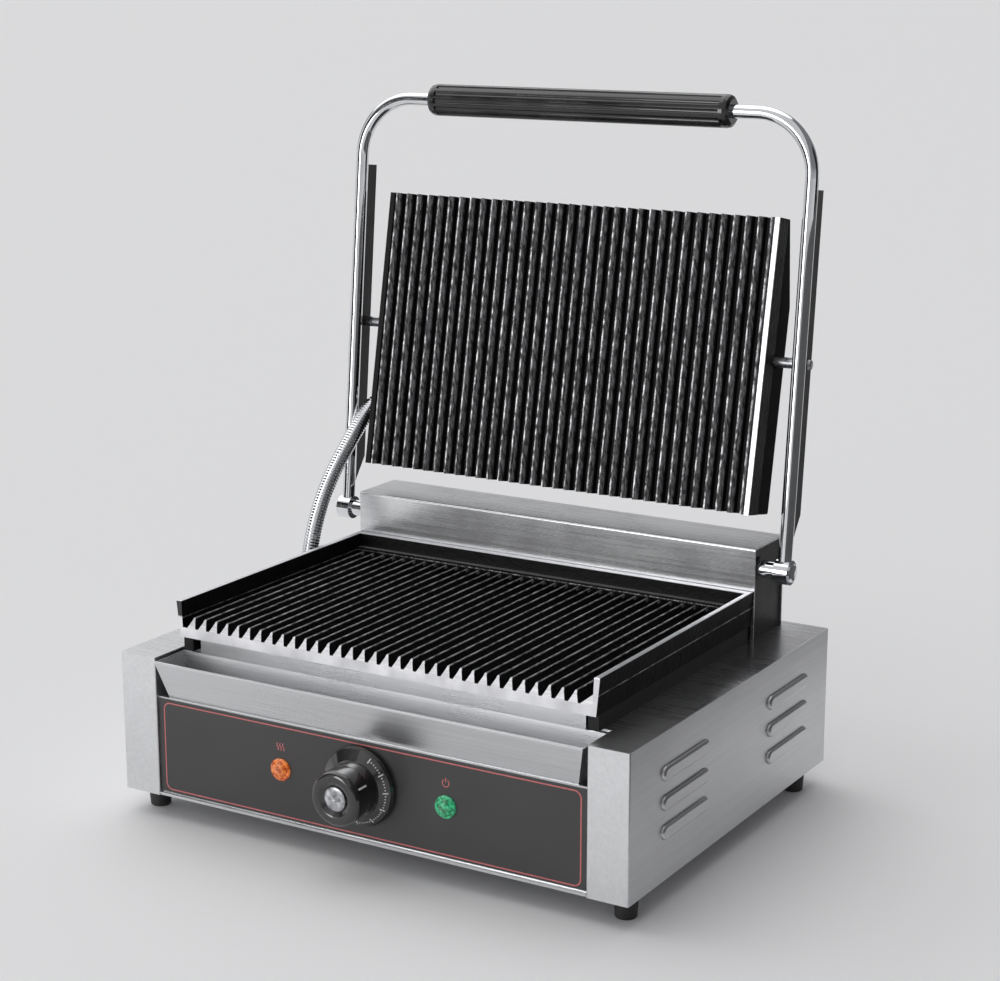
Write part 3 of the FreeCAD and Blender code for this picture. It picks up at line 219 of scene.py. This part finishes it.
def seasoned_iron(name, lands_and_highlights, crests, crest_tone, grain_axis):
    """Black seasoned cast iron with bright machined lands and painted highlights, and rib crests painted
    as bright metal, partly rubbed wear and partly a painted highlight.

    The land mask and the crest mask each take the paint and return a mask from 0 to 1.  The bright crest
    metal, wear and painted highlight together, runs in short wavy streaks along grain_axis.
    """
    paint = Paint(name, specular_ior_level=0.16)
    cast = paint.noise(650.0, 3.0, 0.6)
    lumps = paint.noise(240.0, 2.0, 0.5)
    stain = paint.noise(30.0, 5.0, 0.6)
    cutter = paint.noise(1.0, 2.0, 0.5, (60, 1800, 60))
    streaks = paint.noise(1.0, 3.0, 0.55, tuple(150.0 if axis else 560.0 for axis in grain_axis))
    # Land mask: machined faces, plus painted highlights at the lower plate's rib ends.
    land_and_highlight = lands_and_highlights(paint)
    # Crest mask: rubbed wear and a painted highlight along each crest, broken into streaks.
    wear_and_highlight = paint.math("MULTIPLY", crests(paint), paint.span(streaks, 0.40, 0.64, 0.12, 1.0))
    black = paint.mix(paint.span(stain, 0.35, 0.7), (0.0016, 0.0016, 0.002), (0.005, 0.005, 0.0052))
    # Crest colour: worn metal and painted highlight over the black iron.
    rubbed_and_highlight = paint.mix(wear_and_highlight, black, (crest_tone, crest_tone, crest_tone * 1.02))
    bright = paint.mix(paint.span(cutter, 0.3, 0.7), (0.58, 0.58, 0.60), (0.78, 0.78, 0.80))
    paint.set("Base Color", paint.mix(land_and_highlight, rubbed_and_highlight, bright))
    paint.set("Metallic", paint.math("MAXIMUM", land_and_highlight, paint.math("MULTIPLY", wear_and_highlight, 0.8)))
    oil = paint.span(stain, 0.3, 0.7, 0.42, 0.58)
    paint.set("Roughness", paint.blend(paint.math("MAXIMUM", land_and_highlight, wear_and_highlight), oil, 0.42))
    fine = paint.bump(cast, 0.0007, paint.blend(land_and_highlight, 0.55, 0.06))
    paint.set("Normal", paint.bump(lumps, 0.0012, paint.blend(land_and_highlight, 0.45, 0.02), fine))
    return paint.material


def black_paint(name, tone=0.010, rough=0.38, gloss=0.3, grain=1400.0):
    """Baked black paint with orange peel, dust and rubbed patches."""
    paint = Paint(name, specular_ior_level=gloss)
    peel = paint.noise(grain, 2.0)
    dust = paint.noise(60.0, 6.0, 0.7)
    paint.set("Base Color", paint.mix(paint.span(dust, 0.45, 0.8), (tone,) * 3, (tone * 2.4,) * 3))
    paint.set("Roughness", paint.span(dust, 0.35, 0.75, rough - 0.05, rough + 0.14))
    paint.set("Normal", paint.bump(peel, 0.00012, 0.4))
    return paint.material


def moulded_plastic(name, colour, rough=0.3, coat=0.2):
    """Moulded plastic: fine pebble, slight colour drift, finger-polished patches."""
    paint = Paint(name)
    paint.set("Coat Weight", coat)
    pebble = paint.noise(1700.0, 2.0)
    drift = paint.noise(35.0, 4.0, 0.6)
    lighter = tuple(min(1.0, c * 1.5 + 0.004) for c in colour)
    paint.set("Base Color", paint.mix(paint.span(drift, 0.4, 0.75), colour, lighter))
    paint.set("Roughness", paint.span(drift, 0.35, 0.7, rough - 0.06, rough + 0.10))
    paint.set("Normal", paint.bump(pebble, 0.00006, 0.35))
    return paint.material


def lamp_lens(name, deep, bright):
    """Tinted lens, glowing a little all over, with fine moulded ridges."""
    paint = Paint(name)
    paint.set("Coat Weight", 0.8)
    ridges = paint.cells(900.0)
    drift = paint.noise(420.0, 3.0)
    colour = paint.mix(paint.span(drift, 0.40, 0.60), deep, bright)
    paint.set("Base Color", colour)
    paint.set("Emission Color", colour)
    paint.set("Emission Strength", 0.35)
    paint.set("Roughness", paint.span(drift, 0.3, 0.7, 0.14, 0.24))
    paint.set("Normal", paint.bump(ridges, 0.0005, 0.5))
    return paint.material


def zinc_plate():
    paint = Paint("zinc_plate", metallic=1.0)
    bloom = paint.cells(700.0)
    stain = paint.noise(90.0, 4.0, 0.6)
    dull = paint.span(stain, 0.35, 0.75)
    paint.set("Base Color", paint.mix(dull, (0.62, 0.62, 0.60), (0.42, 0.42, 0.40)))
    paint.set("Roughness", paint.span(bloom, 0.0, 0.6, 0.28, 0.46))
    paint.set("Normal", paint.bump(stain, 0.0002, 0.3))
    return paint.material


def grainy(name, dark, light, scale, rough, metallic=0.0, depth=0.0003):
    """A plain grained finish for the inner pieces: ceramic, fibre, bronze, copper, sheath."""
    paint = Paint(name, metallic=metallic)
    grain = paint.noise(scale, 5.0, 0.65)
    cloud = paint.noise(scale * 0.06, 3.0)
    paint.set("Base Color", paint.mix(paint.span(cloud, 0.3, 0.7), dark, light))
    paint.set("Roughness", paint.span(grain, 0.3, 0.7, rough - 0.07, rough + 0.08))
    paint.set("Normal", paint.bump(grain, depth, 0.5))
    return paint.material


def printed_overlay():
    """Screen-printed polycarbonate: dark grey, satin, with a very fine texture."""
    paint = Paint("overlay_film")
    paint.set("Coat Weight", 0.15)
    texture = paint.noise(2600.0, 2.0)
    cloud = paint.noise(14.0, 3.0, 0.55)
    shade = paint.span(cloud, 0.3, 0.7)
    paint.set("Base Color", paint.mix(shade, (0.036, 0.034, 0.036), (0.047, 0.044, 0.046)))
    paint.set("Roughness", paint.span(cloud, 0.3, 0.7, 0.40, 0.50))
    paint.set("Normal", paint.bump(texture, 0.00005, 0.35))
    return paint.material


def ink(name, colour, rough=0.5):
    """Printed ink, slightly uneven in density."""
    paint = Paint(name)
    density = paint.noise(1200.0, 3.0)
    thinner = tuple(c * 0.72 for c in colour)
    paint.set("Base Color", paint.mix(paint.span(density, 0.35, 0.65), thinner, colour))
    paint.set("Roughness", paint.span(density, 0.3, 0.7, rough - 0.05, rough + 0.05))
    return paint.material


# ---------------------------------------------------------------- masks for the cast plates

PLATE_LOW, PLATE_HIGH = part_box("lower_plate")
WALL_TOP = PLATE_HIGH.z
LOWER_CRESTS = WALL_TOP - 12.2 * MM
RIB_ENDS = PLATE_HIGH.y - 15.0 * MM
RIB_BEVEL = 4.6 * MM
RIB_FIELD = 160.0 * MM
LID_FACE = -17.6 * MM
LID_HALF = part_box("upper_plate")[1].x
LID_BORDER = 4.7 * MM


def lower_lands_and_highlights(paint):
    """Machined: the front face with the ribs' sloping ends, the wall tops and the ledge; the bright rear
    tips of the ribs are a painted highlight.

    The front end of the left wall is kept mostly black, darker than the rest of the front face.
    """
    y = paint.along((0, PLATE_LOW.y, 0), (0, 1, 0))
    z = paint.along((0, 0, LOWER_CRESTS), (0, 0, 1))
    forward = paint.span(paint.facing((0, -1, 0)), 0.60, 0.75)
    near = paint.span(y, RIB_BEVEL + 0.5 * MM, RIB_BEVEL + 0.8 * MM, 1.0, 0.0)
    front = paint.math("MULTIPLY", forward, near)
    x = paint.along((PLATE_LOW.x, 0, 0), (1, 0, 0))
    # The left wall's front end is kept mostly black, darker than the rest of the front face.
    left_wall = paint.math("MULTIPLY", paint.span(x, 6 * MM, 7 * MM, 1.0, 0.0),
                           paint.span(z, 0.5 * MM, 1.5 * MM))
    front = paint.math("MULTIPLY", front, paint.blend(left_wall, 1.0, 0.1))
    upward = paint.span(paint.facing((0, 0, 1)), 0.55, 0.75)
    tops = paint.math("MULTIPLY", upward, paint.span(z, 0.8 * MM, 1.2 * MM))
    # Rear tips of the ribs: a painted highlight, bright metal where the rib ends catch light.
    from_end = paint.math("ABSOLUTE", paint.along((0, RIB_ENDS - 2.0 * MM, 0), (0, 1, 0)))
    from_middle = paint.math("ABSOLUTE", paint.along((0, 0, 0), (1, 0, 0)))
    ends = paint.math("MULTIPLY", paint.span(from_end, 2.2 * MM, 2.6 * MM, 1.0, 0.0),
                      paint.span(from_middle, RIB_FIELD, RIB_FIELD + 1.0 * MM, 1.0, 0.0))
    near_crest = paint.span(paint.math("ABSOLUTE", z), 1.6 * MM, 2.2 * MM, 1.0, 0.0)
    tip_highlights = paint.math("MULTIPLY", ends, near_crest)
    return paint.math("MAXIMUM", paint.math("MAXIMUM", front, tops), tip_highlights)


def lower_crests(paint):
    """A thin line along each rib's crest, painted as bright metal: partly wear, partly a painted
    highlight.
    """
    z = paint.along((0, 0, LOWER_CRESTS), (0, 0, 1))
    line = paint.span(z, -0.70 * MM, -0.1 * MM)
    return paint.math("MULTIPLY", line, paint.span(z, 0.3 * MM, 0.5 * MM, 1.0, 0.0))


def upper_bright_border(paint):
    """The right border of the lid plate's face is painted as bright metal; the left one stays black."""
    edge = LID_HALF - LID_BORDER
    beside = paint.span(paint.along((0, 0, 0), (1, 0, 0)), edge - 0.1 * MM, edge)
    forward = paint.span(paint.facing(-LID_BACK), 0.5, 0.8)
    return paint.math("MULTIPLY", beside, forward)


def upper_crests(paint):
    """The crests of the lid's ribs, painted as bright metal (partly rubbed wear, partly a painted
    highlight), short of the plain borders beside them.
    """
    crests = paint.span(paint.along(PIVOT, LID_BACK), LID_FACE + 2.0 * MM, LID_FACE + 4.6 * MM, 1.0, 0.0)
    edge = LID_HALF - LID_BORDER
    from_middle = paint.math("ABSOLUTE", paint.along((0, 0, 0), (1, 0, 0)))
    return paint.math("MULTIPLY", crests, paint.span(from_middle, edge - 0.4 * MM, edge, 1.0, 0.0))


# ---------------------------------------------------------------- materials on the CAD nodes

MATERIALS = {
    "steel_along_x": brushed_steel("steel_along_x", (14, 2400, 2400)),
    "steel_along_y": brushed_steel("steel_along_y", (2400, 14, 2400), 0.66, 0.34),
    "chrome": polished_chrome(),
    # The crest tones are bright metal, partly wear and partly a painted highlight.
    "lower_iron": seasoned_iron("lower_iron", lower_lands_and_highlights, lower_crests, 0.50, (0, 1, 0)),
    "upper_iron": seasoned_iron("upper_iron", upper_bright_border, upper_crests, 0.66, (0, 0, 1)),
    "black_paint": black_paint("black_paint"),
    "cover_paint": black_paint("cover_paint", 0.004, 0.55, 0.03),
    "overlay": printed_overlay(),
    "knob": moulded_plastic("knob_plastic", (0.005, 0.005, 0.005), 0.20, 1.0),
    "grip": moulded_plastic("grip_plastic", (0.007, 0.007, 0.008), 0.22, 0.4),
    "insert": grainy("spun_insert", (0.16, 0.16, 0.17), (0.66, 0.67, 0.69), 4500.0, 0.30, 1.0, 0.0001),
    "orange": lamp_lens("orange_lens", (0.42, 0.06, 0.008), (0.85, 0.24, 0.04)),
    "green": lamp_lens("green_lens", (0.006, 0.16, 0.06), (0.05, 0.52, 0.24)),
    "rubber": moulded_plastic("foot_rubber", (0.02, 0.02, 0.02), 0.62, 0.0),
    "zinc": zinc_plate(),
    "element": grainy("element_sheath", (0.10, 0.09, 0.08), (0.22, 0.19, 0.16), 900.0, 0.5, 0.8),
    "fibre": grainy("ceramic_fibre", (0.72, 0.70, 0.66), (0.86, 0.85, 0.81), 1600.0, 0.9, 0.0, 0.001),
    "ceramic": grainy("glazed_ceramic", (0.74, 0.72, 0.66), (0.84, 0.82, 0.77), 400.0, 0.25),
    "bronze": grainy("sintered_bronze", (0.42, 0.28, 0.12), (0.58, 0.40, 0.20), 1800.0, 0.42, 1.0),
    "gland": moulded_plastic("gland_plastic", (0.012, 0.012, 0.012), 0.42, 0.05),
    "copper": grainy("drawn_copper", (0.55, 0.28, 0.16), (0.72, 0.40, 0.25), 1500.0, 0.3, 1.0),
}

NODE_FINISH = {
    "steel_along_x": "front_panel top_deck riser_cover drip_tray rear_panel bottom_plate",
    "steel_along_y": "side_panel_left side_panel_right",
    "chrome": "lift_handle hinge_spacers cap_nuts conduit_lower "
              "conduit_upper conduit_gland_deck conduit_gland_lid",
    "lower_iron": "lower_plate",
    "upper_iron": "upper_plate",
    "black_paint": "plate_frame hinge_bracket_left hinge_bracket_right arm_bar_left arm_bar_right "
                   "hinge_bushes",
    "cover_paint": "upper_cover",
    "overlay": "control_overlay",
    "knob": "knob_skirt knob_cap",
    "grip": "handle_grip",
    "insert": "knob_insert pivot_pins",
    "orange": "orange_lamp_holder orange_lamp_lens",
    "green": "green_lamp_holder green_lamp_lens",
    "rubber": "feet",
    "zinc": "foot_screws casing_screws plate_bolts lower_heater_clamp heat_shield thermostat_shaft "
            "bracket_screws counterbalance_springs hinge_shaft shaft_collars upper_heater_clamp "
            "cover_screws",
    "element": "lower_heater upper_heater",
    "fibre": "lower_insulation upper_insulation",
    "ceramic": "thermostat_housing terminal_block",
    "bronze": "pivot_bushes",
    "gland": "cable_gland",
    "copper": "thermostat_capillary",
}

BEVELS = {
    "front_panel top_deck rear_panel riser_cover drip_tray side_panel_left side_panel_right": 0.35,
    "lower_plate upper_plate plate_frame": 0.45,
    "arm_bar_left arm_bar_right hinge_spacers": 0.5,
    "control_overlay": 0.15,
}


def finish_nodes():
    for finish, names in NODE_FINISH.items():
        for name in names.split():
            slots = frame["nodes"][name].data.materials
            slots.clear()
            slots.append(MATERIALS[finish])
    for names, width in BEVELS.items():
        for name in names.split():
            node = frame["nodes"][name]
            bevel = node.modifiers.new("edge_round", "BEVEL")
            bevel.width = width * MM
            bevel.segments = 2
            bevel.limit_method = "ANGLE"
            bevel.angle_limit = math.radians(40)
            bevel.harden_normals = True


# ---------------------------------------------------------------- small mesh pieces

def mesh_piece(name, bm, material, body, smooth=True):
    """Turn a bmesh into a piece that rides on a body."""
    mesh = bpy.data.meshes.new(name)
    bm.to_mesh(mesh)
    bm.free()
    for face in mesh.polygons:
        face.use_smooth = smooth
    piece = bpy.data.objects.new(name, mesh)
    bpy.context.scene.collection.objects.link(piece)
    piece.data.materials.append(material)
    if body:
        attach(piece, body)
    return piece


def ribbon(bm, path, width, thick, up, closed=False):
    """A flat printed line along a path: a thin strip that stands on a plane with normal up."""
    count = len(path)
    rings = []
    for index, point in enumerate(path):
        before = path[index - 1] if index or closed else point
        after = path[(index + 1) % count] if index < count - 1 or closed else point
        ahead = (after - before).normalized()
        side = up.cross(ahead).normalized() * (width / 2)
        rings.append([bm.verts.new(point + side), bm.verts.new(point - side),
                      bm.verts.new(point - side + up * thick), bm.verts.new(point + side + up * thick)])
    stretches = count if closed else count - 1
    for index in range(stretches):
        first, second = rings[index], rings[(index + 1) % count]
        for edge in range(4):
            other = (edge + 1) % 4
            bm.faces.new((first[edge], first[other], second[other], second[edge]))
    if not closed:
        bm.faces.new(rings[0][::-1])
        bm.faces.new(rings[-1])


def arc(centre, right, up, radius, start, end, steps):
    """Points on an arc, angles in degrees counted from right towards up."""
    points = []
    for step in range(steps + 1):
        angle = math.radians(start + (end - start) * step / steps)
        points.append(centre + right * (radius * math.cos(angle)) + up * (radius * math.sin(angle)))
    return points


EAST, NORTH, TOWARD = Vector((1, 0, 0)), Vector((0, 0, 1)), Vector((0, -1, 0))
OVERLAY_LOW, OVERLAY_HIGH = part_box("control_overlay")
PRINT_Y = OVERLAY_LOW.y
INK_RED = ink("ink_red", (0.80, 0.20, 0.20))
INK_WHITE = ink("ink_white", (0.78, 0.78, 0.76))


def overlay_border():
    """The thin red line with rounded corners round the control panel."""
    inset, radius = 4.6 * MM, 5.0 * MM
    low = Vector((OVERLAY_LOW.x + inset, PRINT_Y, OVERLAY_LOW.z + inset * 0.45))
    high = Vector((OVERLAY_HIGH.x - inset, PRINT_Y, OVERLAY_HIGH.z - inset * 0.55))
    centres = [((high.x - radius, high.z - radius), 0), ((low.x + radius, high.z - radius), 90),
               ((low.x + radius, low.z + radius), 180), ((high.x - radius, low.z + radius), 270)]
    path = []
    for (x, z), start in centres:
        path += arc(Vector((x, PRINT_Y, z)), EAST, NORTH, radius, start, start + 90, 8)
    bm = bmesh.new()
    ribbon(bm, path, 0.95 * MM, 0.03 * MM, TOWARD, closed=True)
    mesh_piece("overlay_border", bm, INK_RED, "base", smooth=False)


def lamp_marks():
    """Generic marks over the lamps: three heat waves, and the ring-and-bar power sign."""
    orange = (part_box("orange_lamp_lens")[0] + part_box("orange_lamp_lens")[1]) / 2
    green = (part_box("green_lamp_lens")[0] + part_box("green_lamp_lens")[1]) / 2
    rise = 16.5 * MM
    bm = bmesh.new()
    for shift in (-2.4, 0.0, 2.4):
        wave = []
        for step in range(13):
            height = (step / 12 - 0.5) * 5.4 * MM
            sway = 0.7 * MM * math.sin(step / 12 * math.tau)
            wave.append(Vector((orange.x + shift * MM + sway, PRINT_Y, orange.z + rise + height)))
        ribbon(bm, wave, 0.7 * MM, 0.03 * MM, TOWARD)
    mesh_piece("heat_mark", bm, INK_RED, "base", smooth=False)
    bm = bmesh.new()
    centre = Vector((green.x, PRINT_Y, green.z + rise))
    ribbon(bm, arc(centre, EAST, NORTH, 2.6 * MM, 125, 415, 24), 0.7 * MM, 0.03 * MM, TOWARD)
    ribbon(bm, [centre + NORTH * 0.4 * MM, centre + NORTH * 3.6 * MM], 0.7 * MM, 0.03 * MM, TOWARD)
    mesh_piece("power_mark", bm, INK_RED, "base", smooth=False)


def knob_marks():
    """White graduations on the dial skirt's slope, and the pointer line on the cap's rim."""
    low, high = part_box("knob_skirt")
    centre = Vector(((low.x + high.x) / 2, 0, (low.z + high.z) / 2))
    outer_y, inner_y = high.y - 3.2 * MM, high.y - 7.2 * MM
    outer_r, inner_r = 27.2 * MM, 20.4 * MM
    bm = bmesh.new()
    steps = 36
    for step in range(steps + 1):
        angle = math.radians(28 + 180 * step / steps)
        major = step % 6 == 0
        direction = Vector((math.sin(angle), 0, math.cos(angle)))
        middle, half = (0.42, 0.24) if major else (0.42, 0.07)

        def on_slope(reach):
            radius = outer_r + (inner_r - outer_r) * reach
            return centre + direction * radius + Vector((0, outer_y + (inner_y - outer_y) * reach, 0))

        slope = (direction * (outer_y - inner_y) + Vector((0, -1, 0)) * (outer_r - inner_r)).normalized()
        ends = [on_slope(middle - half), on_slope(middle + half)]
        ribbon(bm, ends, (1.0 if major else 0.8) * MM, 0.04 * MM, slope)
    mesh_piece("dial_graduations", bm, INK_WHITE, "knob", smooth=False)
    bm = bmesh.new()
    cap_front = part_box("knob_cap")[0].y
    pointer = math.radians(62)
    direction = Vector((math.sin(pointer), 0, math.cos(pointer)))
    start = centre + direction * 19.26 * MM + Vector((0, cap_front + 5.0 * MM, 0))
    end = centre + direction * 19.2 * MM + Vector((0, cap_front + 14.0 * MM, 0))
    ribbon(bm, [start, end], 1.3 * MM, 0.12 * MM, direction)
    mesh_piece("knob_pointer", bm, INK_WHITE, "knob", smooth=False)


def tube_along(bm, path, radius, sides=28):
    """A round skin along a list of points; radius may be a function of the distance run."""
    rings = []
    side = None
    run = 0.0
    for index, point in enumerate(path):
        before, after = path[max(index - 1, 0)], path[min(index + 1, len(path) - 1)]
        ahead = (after - before).normalized()
        if side is None:
            side = ahead.orthogonal().normalized()
        side = (side - ahead * side.dot(ahead)).normalized()
        other = ahead.cross(side)
        run += (point - before).length
        size = radius(run) if callable(radius) else radius
        ring = []
        for step in range(sides):
            angle = math.tau * step / sides
            spoke = side * (size * math.cos(angle)) + other * (size * math.sin(angle))
            ring.append(bm.verts.new(point + spoke))
        rings.append(ring)
    for first, second in zip(rings, rings[1:]):
        for step in range(sides):
            following = (step + 1) % sides
            bm.faces.new((first[step], first[following], second[following], second[step]))
    bm.faces.new(rings[0][::-1])
    bm.faces.new(rings[-1])


def nurbs_points(name, route, resolution):
    """Close points on the smooth NURBS line whose control points are the route."""
    curve = bpy.data.curves.new(name, "CURVE")
    curve.dimensions = "3D"
    curve.resolution_u = resolution
    spline = curve.splines.new("NURBS")
    spline.points.add(len(route) - 1)
    for control, point in zip(spline.points, route):
        control.co = (*point, 1.0)
    spline.order_u = 3
    spline.use_endpoint_u = True
    line = bpy.data.objects.new(name, curve)
    bpy.context.scene.collection.objects.link(line)
    mesh = bpy.data.meshes.new_from_object(line)
    points = [vertex.co.copy() for vertex in mesh.vertices]
    bpy.data.objects.remove(line)
    bpy.data.meshes.remove(mesh)
    bpy.data.curves.remove(curve)
    return points


def conduit():
    """The bright ribbed hose of the lid's supply, in two lengths: casing to arms, and arms to lid."""
    low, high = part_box("conduit_gland_lid")
    gland = Vector(((low.x + 2.0 * MM), (low.y + high.y) / 2, (low.z + high.z) / 2))
    route = [Vector((-184.5, 48.0, 123.1)) * MM, Vector((-184.5, 48.0, 144.0)) * MM,
             Vector((-186.5, 74.0, 195.0)) * MM, Vector((-182.5, 94.5, 219.0)) * MM,
             Vector((-178.5, 115.0, 243.0)) * MM, Vector((-178.0 * MM, gland.y, gland.z)), gland]
    middle = 3
    radius, groove, pitch = 6.4 * MM, 0.35 * MM, 2.3 * MM

    def ribbed(run):
        return radius - groove * (0.5 - 0.5 * math.cos(run * math.tau / pitch))

    for name, points, bodies, node in (
            ("hose_lower", route[:middle + 1], ("base", "lift_arms"), "conduit_lower"),
            ("hose_upper", route[middle:], ("lift_arms", "lid"), "conduit_upper")):
        bm = bmesh.new()
        tube_along(bm, nurbs_points(name, points, 110), ribbed)
        piece = mesh_piece(name, bm, MATERIALS["chrome"], None)
        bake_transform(piece)
        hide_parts(node)


# ---------------------------------------------------------------- stage, light and camera

CAMERA_AIM = Vector((0.0150, 0.0084, 0.2325))
CAMERA_AZIMUTH, CAMERA_ELEVATION = math.radians(31.055), math.radians(13.509)
CAMERA_DISTANCE, CAMERA_LENS = 1.5946, 80.69
CAMERA_SIDE = 31
HORIZON, ZENITH = (0.66, 0.66, 0.67), (0.20, 0.20, 0.21)


def stage():
    paint = Paint("floor_paper")
    fibre = paint.noise(300.0, 4.0, 0.6)
    paint.set("Base Color", paint.mix(fibre, (0.80, 0.80, 0.803), (0.83, 0.83, 0.833)))
    paint.set("Roughness", paint.span(fibre, 0.2, 0.8, 0.8, 0.95))
    bm = bmesh.new()
    bmesh.ops.create_circle(bm, cap_ends=True, segments=96, radius=40.0)
    mesh = bpy.data.meshes.new("floor")
    bm.to_mesh(mesh)
    bm.free()
    floor = bpy.data.objects.new("floor", mesh)
    bpy.context.scene.collection.objects.link(floor)
    mesh.materials.append(paint.material)


def sun(name, toward, strength, spread):
    """Even soft light from one side of the sky."""
    light = bpy.data.lights.new(name, "SUN")
    light.energy = strength
    light.angle = math.radians(spread)
    lamp = bpy.data.objects.new(name, light)
    bpy.context.scene.collection.objects.link(lamp)
    lamp.rotation_euler = Vector(toward).to_track_quat("Z", "Y").to_euler()


def area_light(name, place, aim, size, power):
    """A soft box that also shows in the metal."""
    light = bpy.data.lights.new(name, "AREA")
    light.shape = "RECTANGLE"
    light.size, light.size_y = size
    light.energy = power
    lamp = bpy.data.objects.new(name, light)
    bpy.context.scene.collection.objects.link(lamp)
    lamp.location = place
    lamp.rotation_euler = (Vector(aim) - Vector(place)).to_track_quat("-Z", "Y").to_euler()
    lamp.visible_camera = False
    lamp.visible_diffuse = False


def flag(name, azimuth, distance, width, height, rise, tone=0.006):
    """A dark or grey card beside the set that shows only in the metal."""
    paint = Paint("flag_cloth", roughness=1.0)
    weave = paint.noise(400.0)
    paint.set("Base Color", paint.mix(weave, (tone * 0.7,) * 3, (tone * 1.3,) * 3))
    bm = bmesh.new()
    angle = math.radians(azimuth)
    away = Vector((math.sin(angle), -math.cos(angle), 0))
    side = NORTH.cross(away)
    corners = [(-1, 0), (1, 0), (1, 1), (-1, 1)]
    bm.faces.new([bm.verts.new(away * distance + side * (u * width / 2) + NORTH * (rise + v * height))
                  for u, v in corners])
    mesh = bpy.data.meshes.new(name)
    bm.to_mesh(mesh)
    bm.free()
    card = bpy.data.objects.new(name, mesh)
    bpy.context.scene.collection.objects.link(card)
    mesh.materials.append(paint.material)
    card.visible_camera = False
    card.visible_diffuse = False
    card.visible_shadow = False
    card.visible_transmission = False


def lights():
    world = bpy.data.worlds.new("studio")
    world.use_nodes = True
    bpy.context.scene.world = world
    tree = world.node_tree
    coordinates = tree.nodes.new("ShaderNodeTexCoord")
    split = tree.nodes.new("ShaderNodeSeparateXYZ")
    ramp = tree.nodes.new("ShaderNodeMapRange")
    mix = tree.nodes.new("ShaderNodeMix")
    mix.data_type = "RGBA"
    tree.links.new(coordinates.outputs["Generated"], split.inputs[0])
    tree.links.new(split.outputs["Z"], ramp.inputs["Value"])
    ramp.inputs["From Min"].default_value = 0.0
    ramp.inputs["From Max"].default_value = 0.24
    tree.links.new(ramp.outputs[0], mix.inputs[0])
    mix.inputs[6].default_value = (*HORIZON, 1)
    mix.inputs[7].default_value = (*ZENITH, 1)
    tree.links.new(mix.outputs[2], tree.nodes["Background"].inputs[0])
    sun("sky_rear", (-0.55, 0.35, 1.0), 1.50, 80)
    sun("sky_front", (-0.5, -0.6, 1.0), 0.95, 110)
    area_light("key", (-1.25, -2.1, 0.62), (0, 0, 0.2), (1.6, 1.1), 30)
    flag("flag_left", CAMERA_SIDE - 78, 1.6, 1.1, 1.6, -0.2)
    flag("flag_right", CAMERA_SIDE + 82, 1.6, 1.1, 1.6, -0.2)
    flag("card_right", 90, 0.36, 1.2, 0.42, 0.0, 0.12)


def camera():
    lens = bpy.data.cameras.new("camera")
    lens.lens = CAMERA_LENS
    lens.sensor_width = 36.0
    seat = bpy.data.objects.new("camera", lens)
    bpy.context.scene.collection.objects.link(seat)
    level = math.cos(CAMERA_ELEVATION)
    toward = Vector((math.sin(CAMERA_AZIMUTH) * level, -math.cos(CAMERA_AZIMUTH) * level,
                     math.sin(CAMERA_ELEVATION)))
    seat.location = CAMERA_AIM + toward * CAMERA_DISTANCE
    seat.rotation_euler = (math.pi / 2 - CAMERA_ELEVATION, 0, CAMERA_AZIMUTH)
    bpy.context.scene.camera = seat
    bpy.context.scene.view_settings.view_transform = "Standard"


finish_nodes()
overlay_border()
lamp_marks()
knob_marks()
conduit()
stage()
lights()
camera()
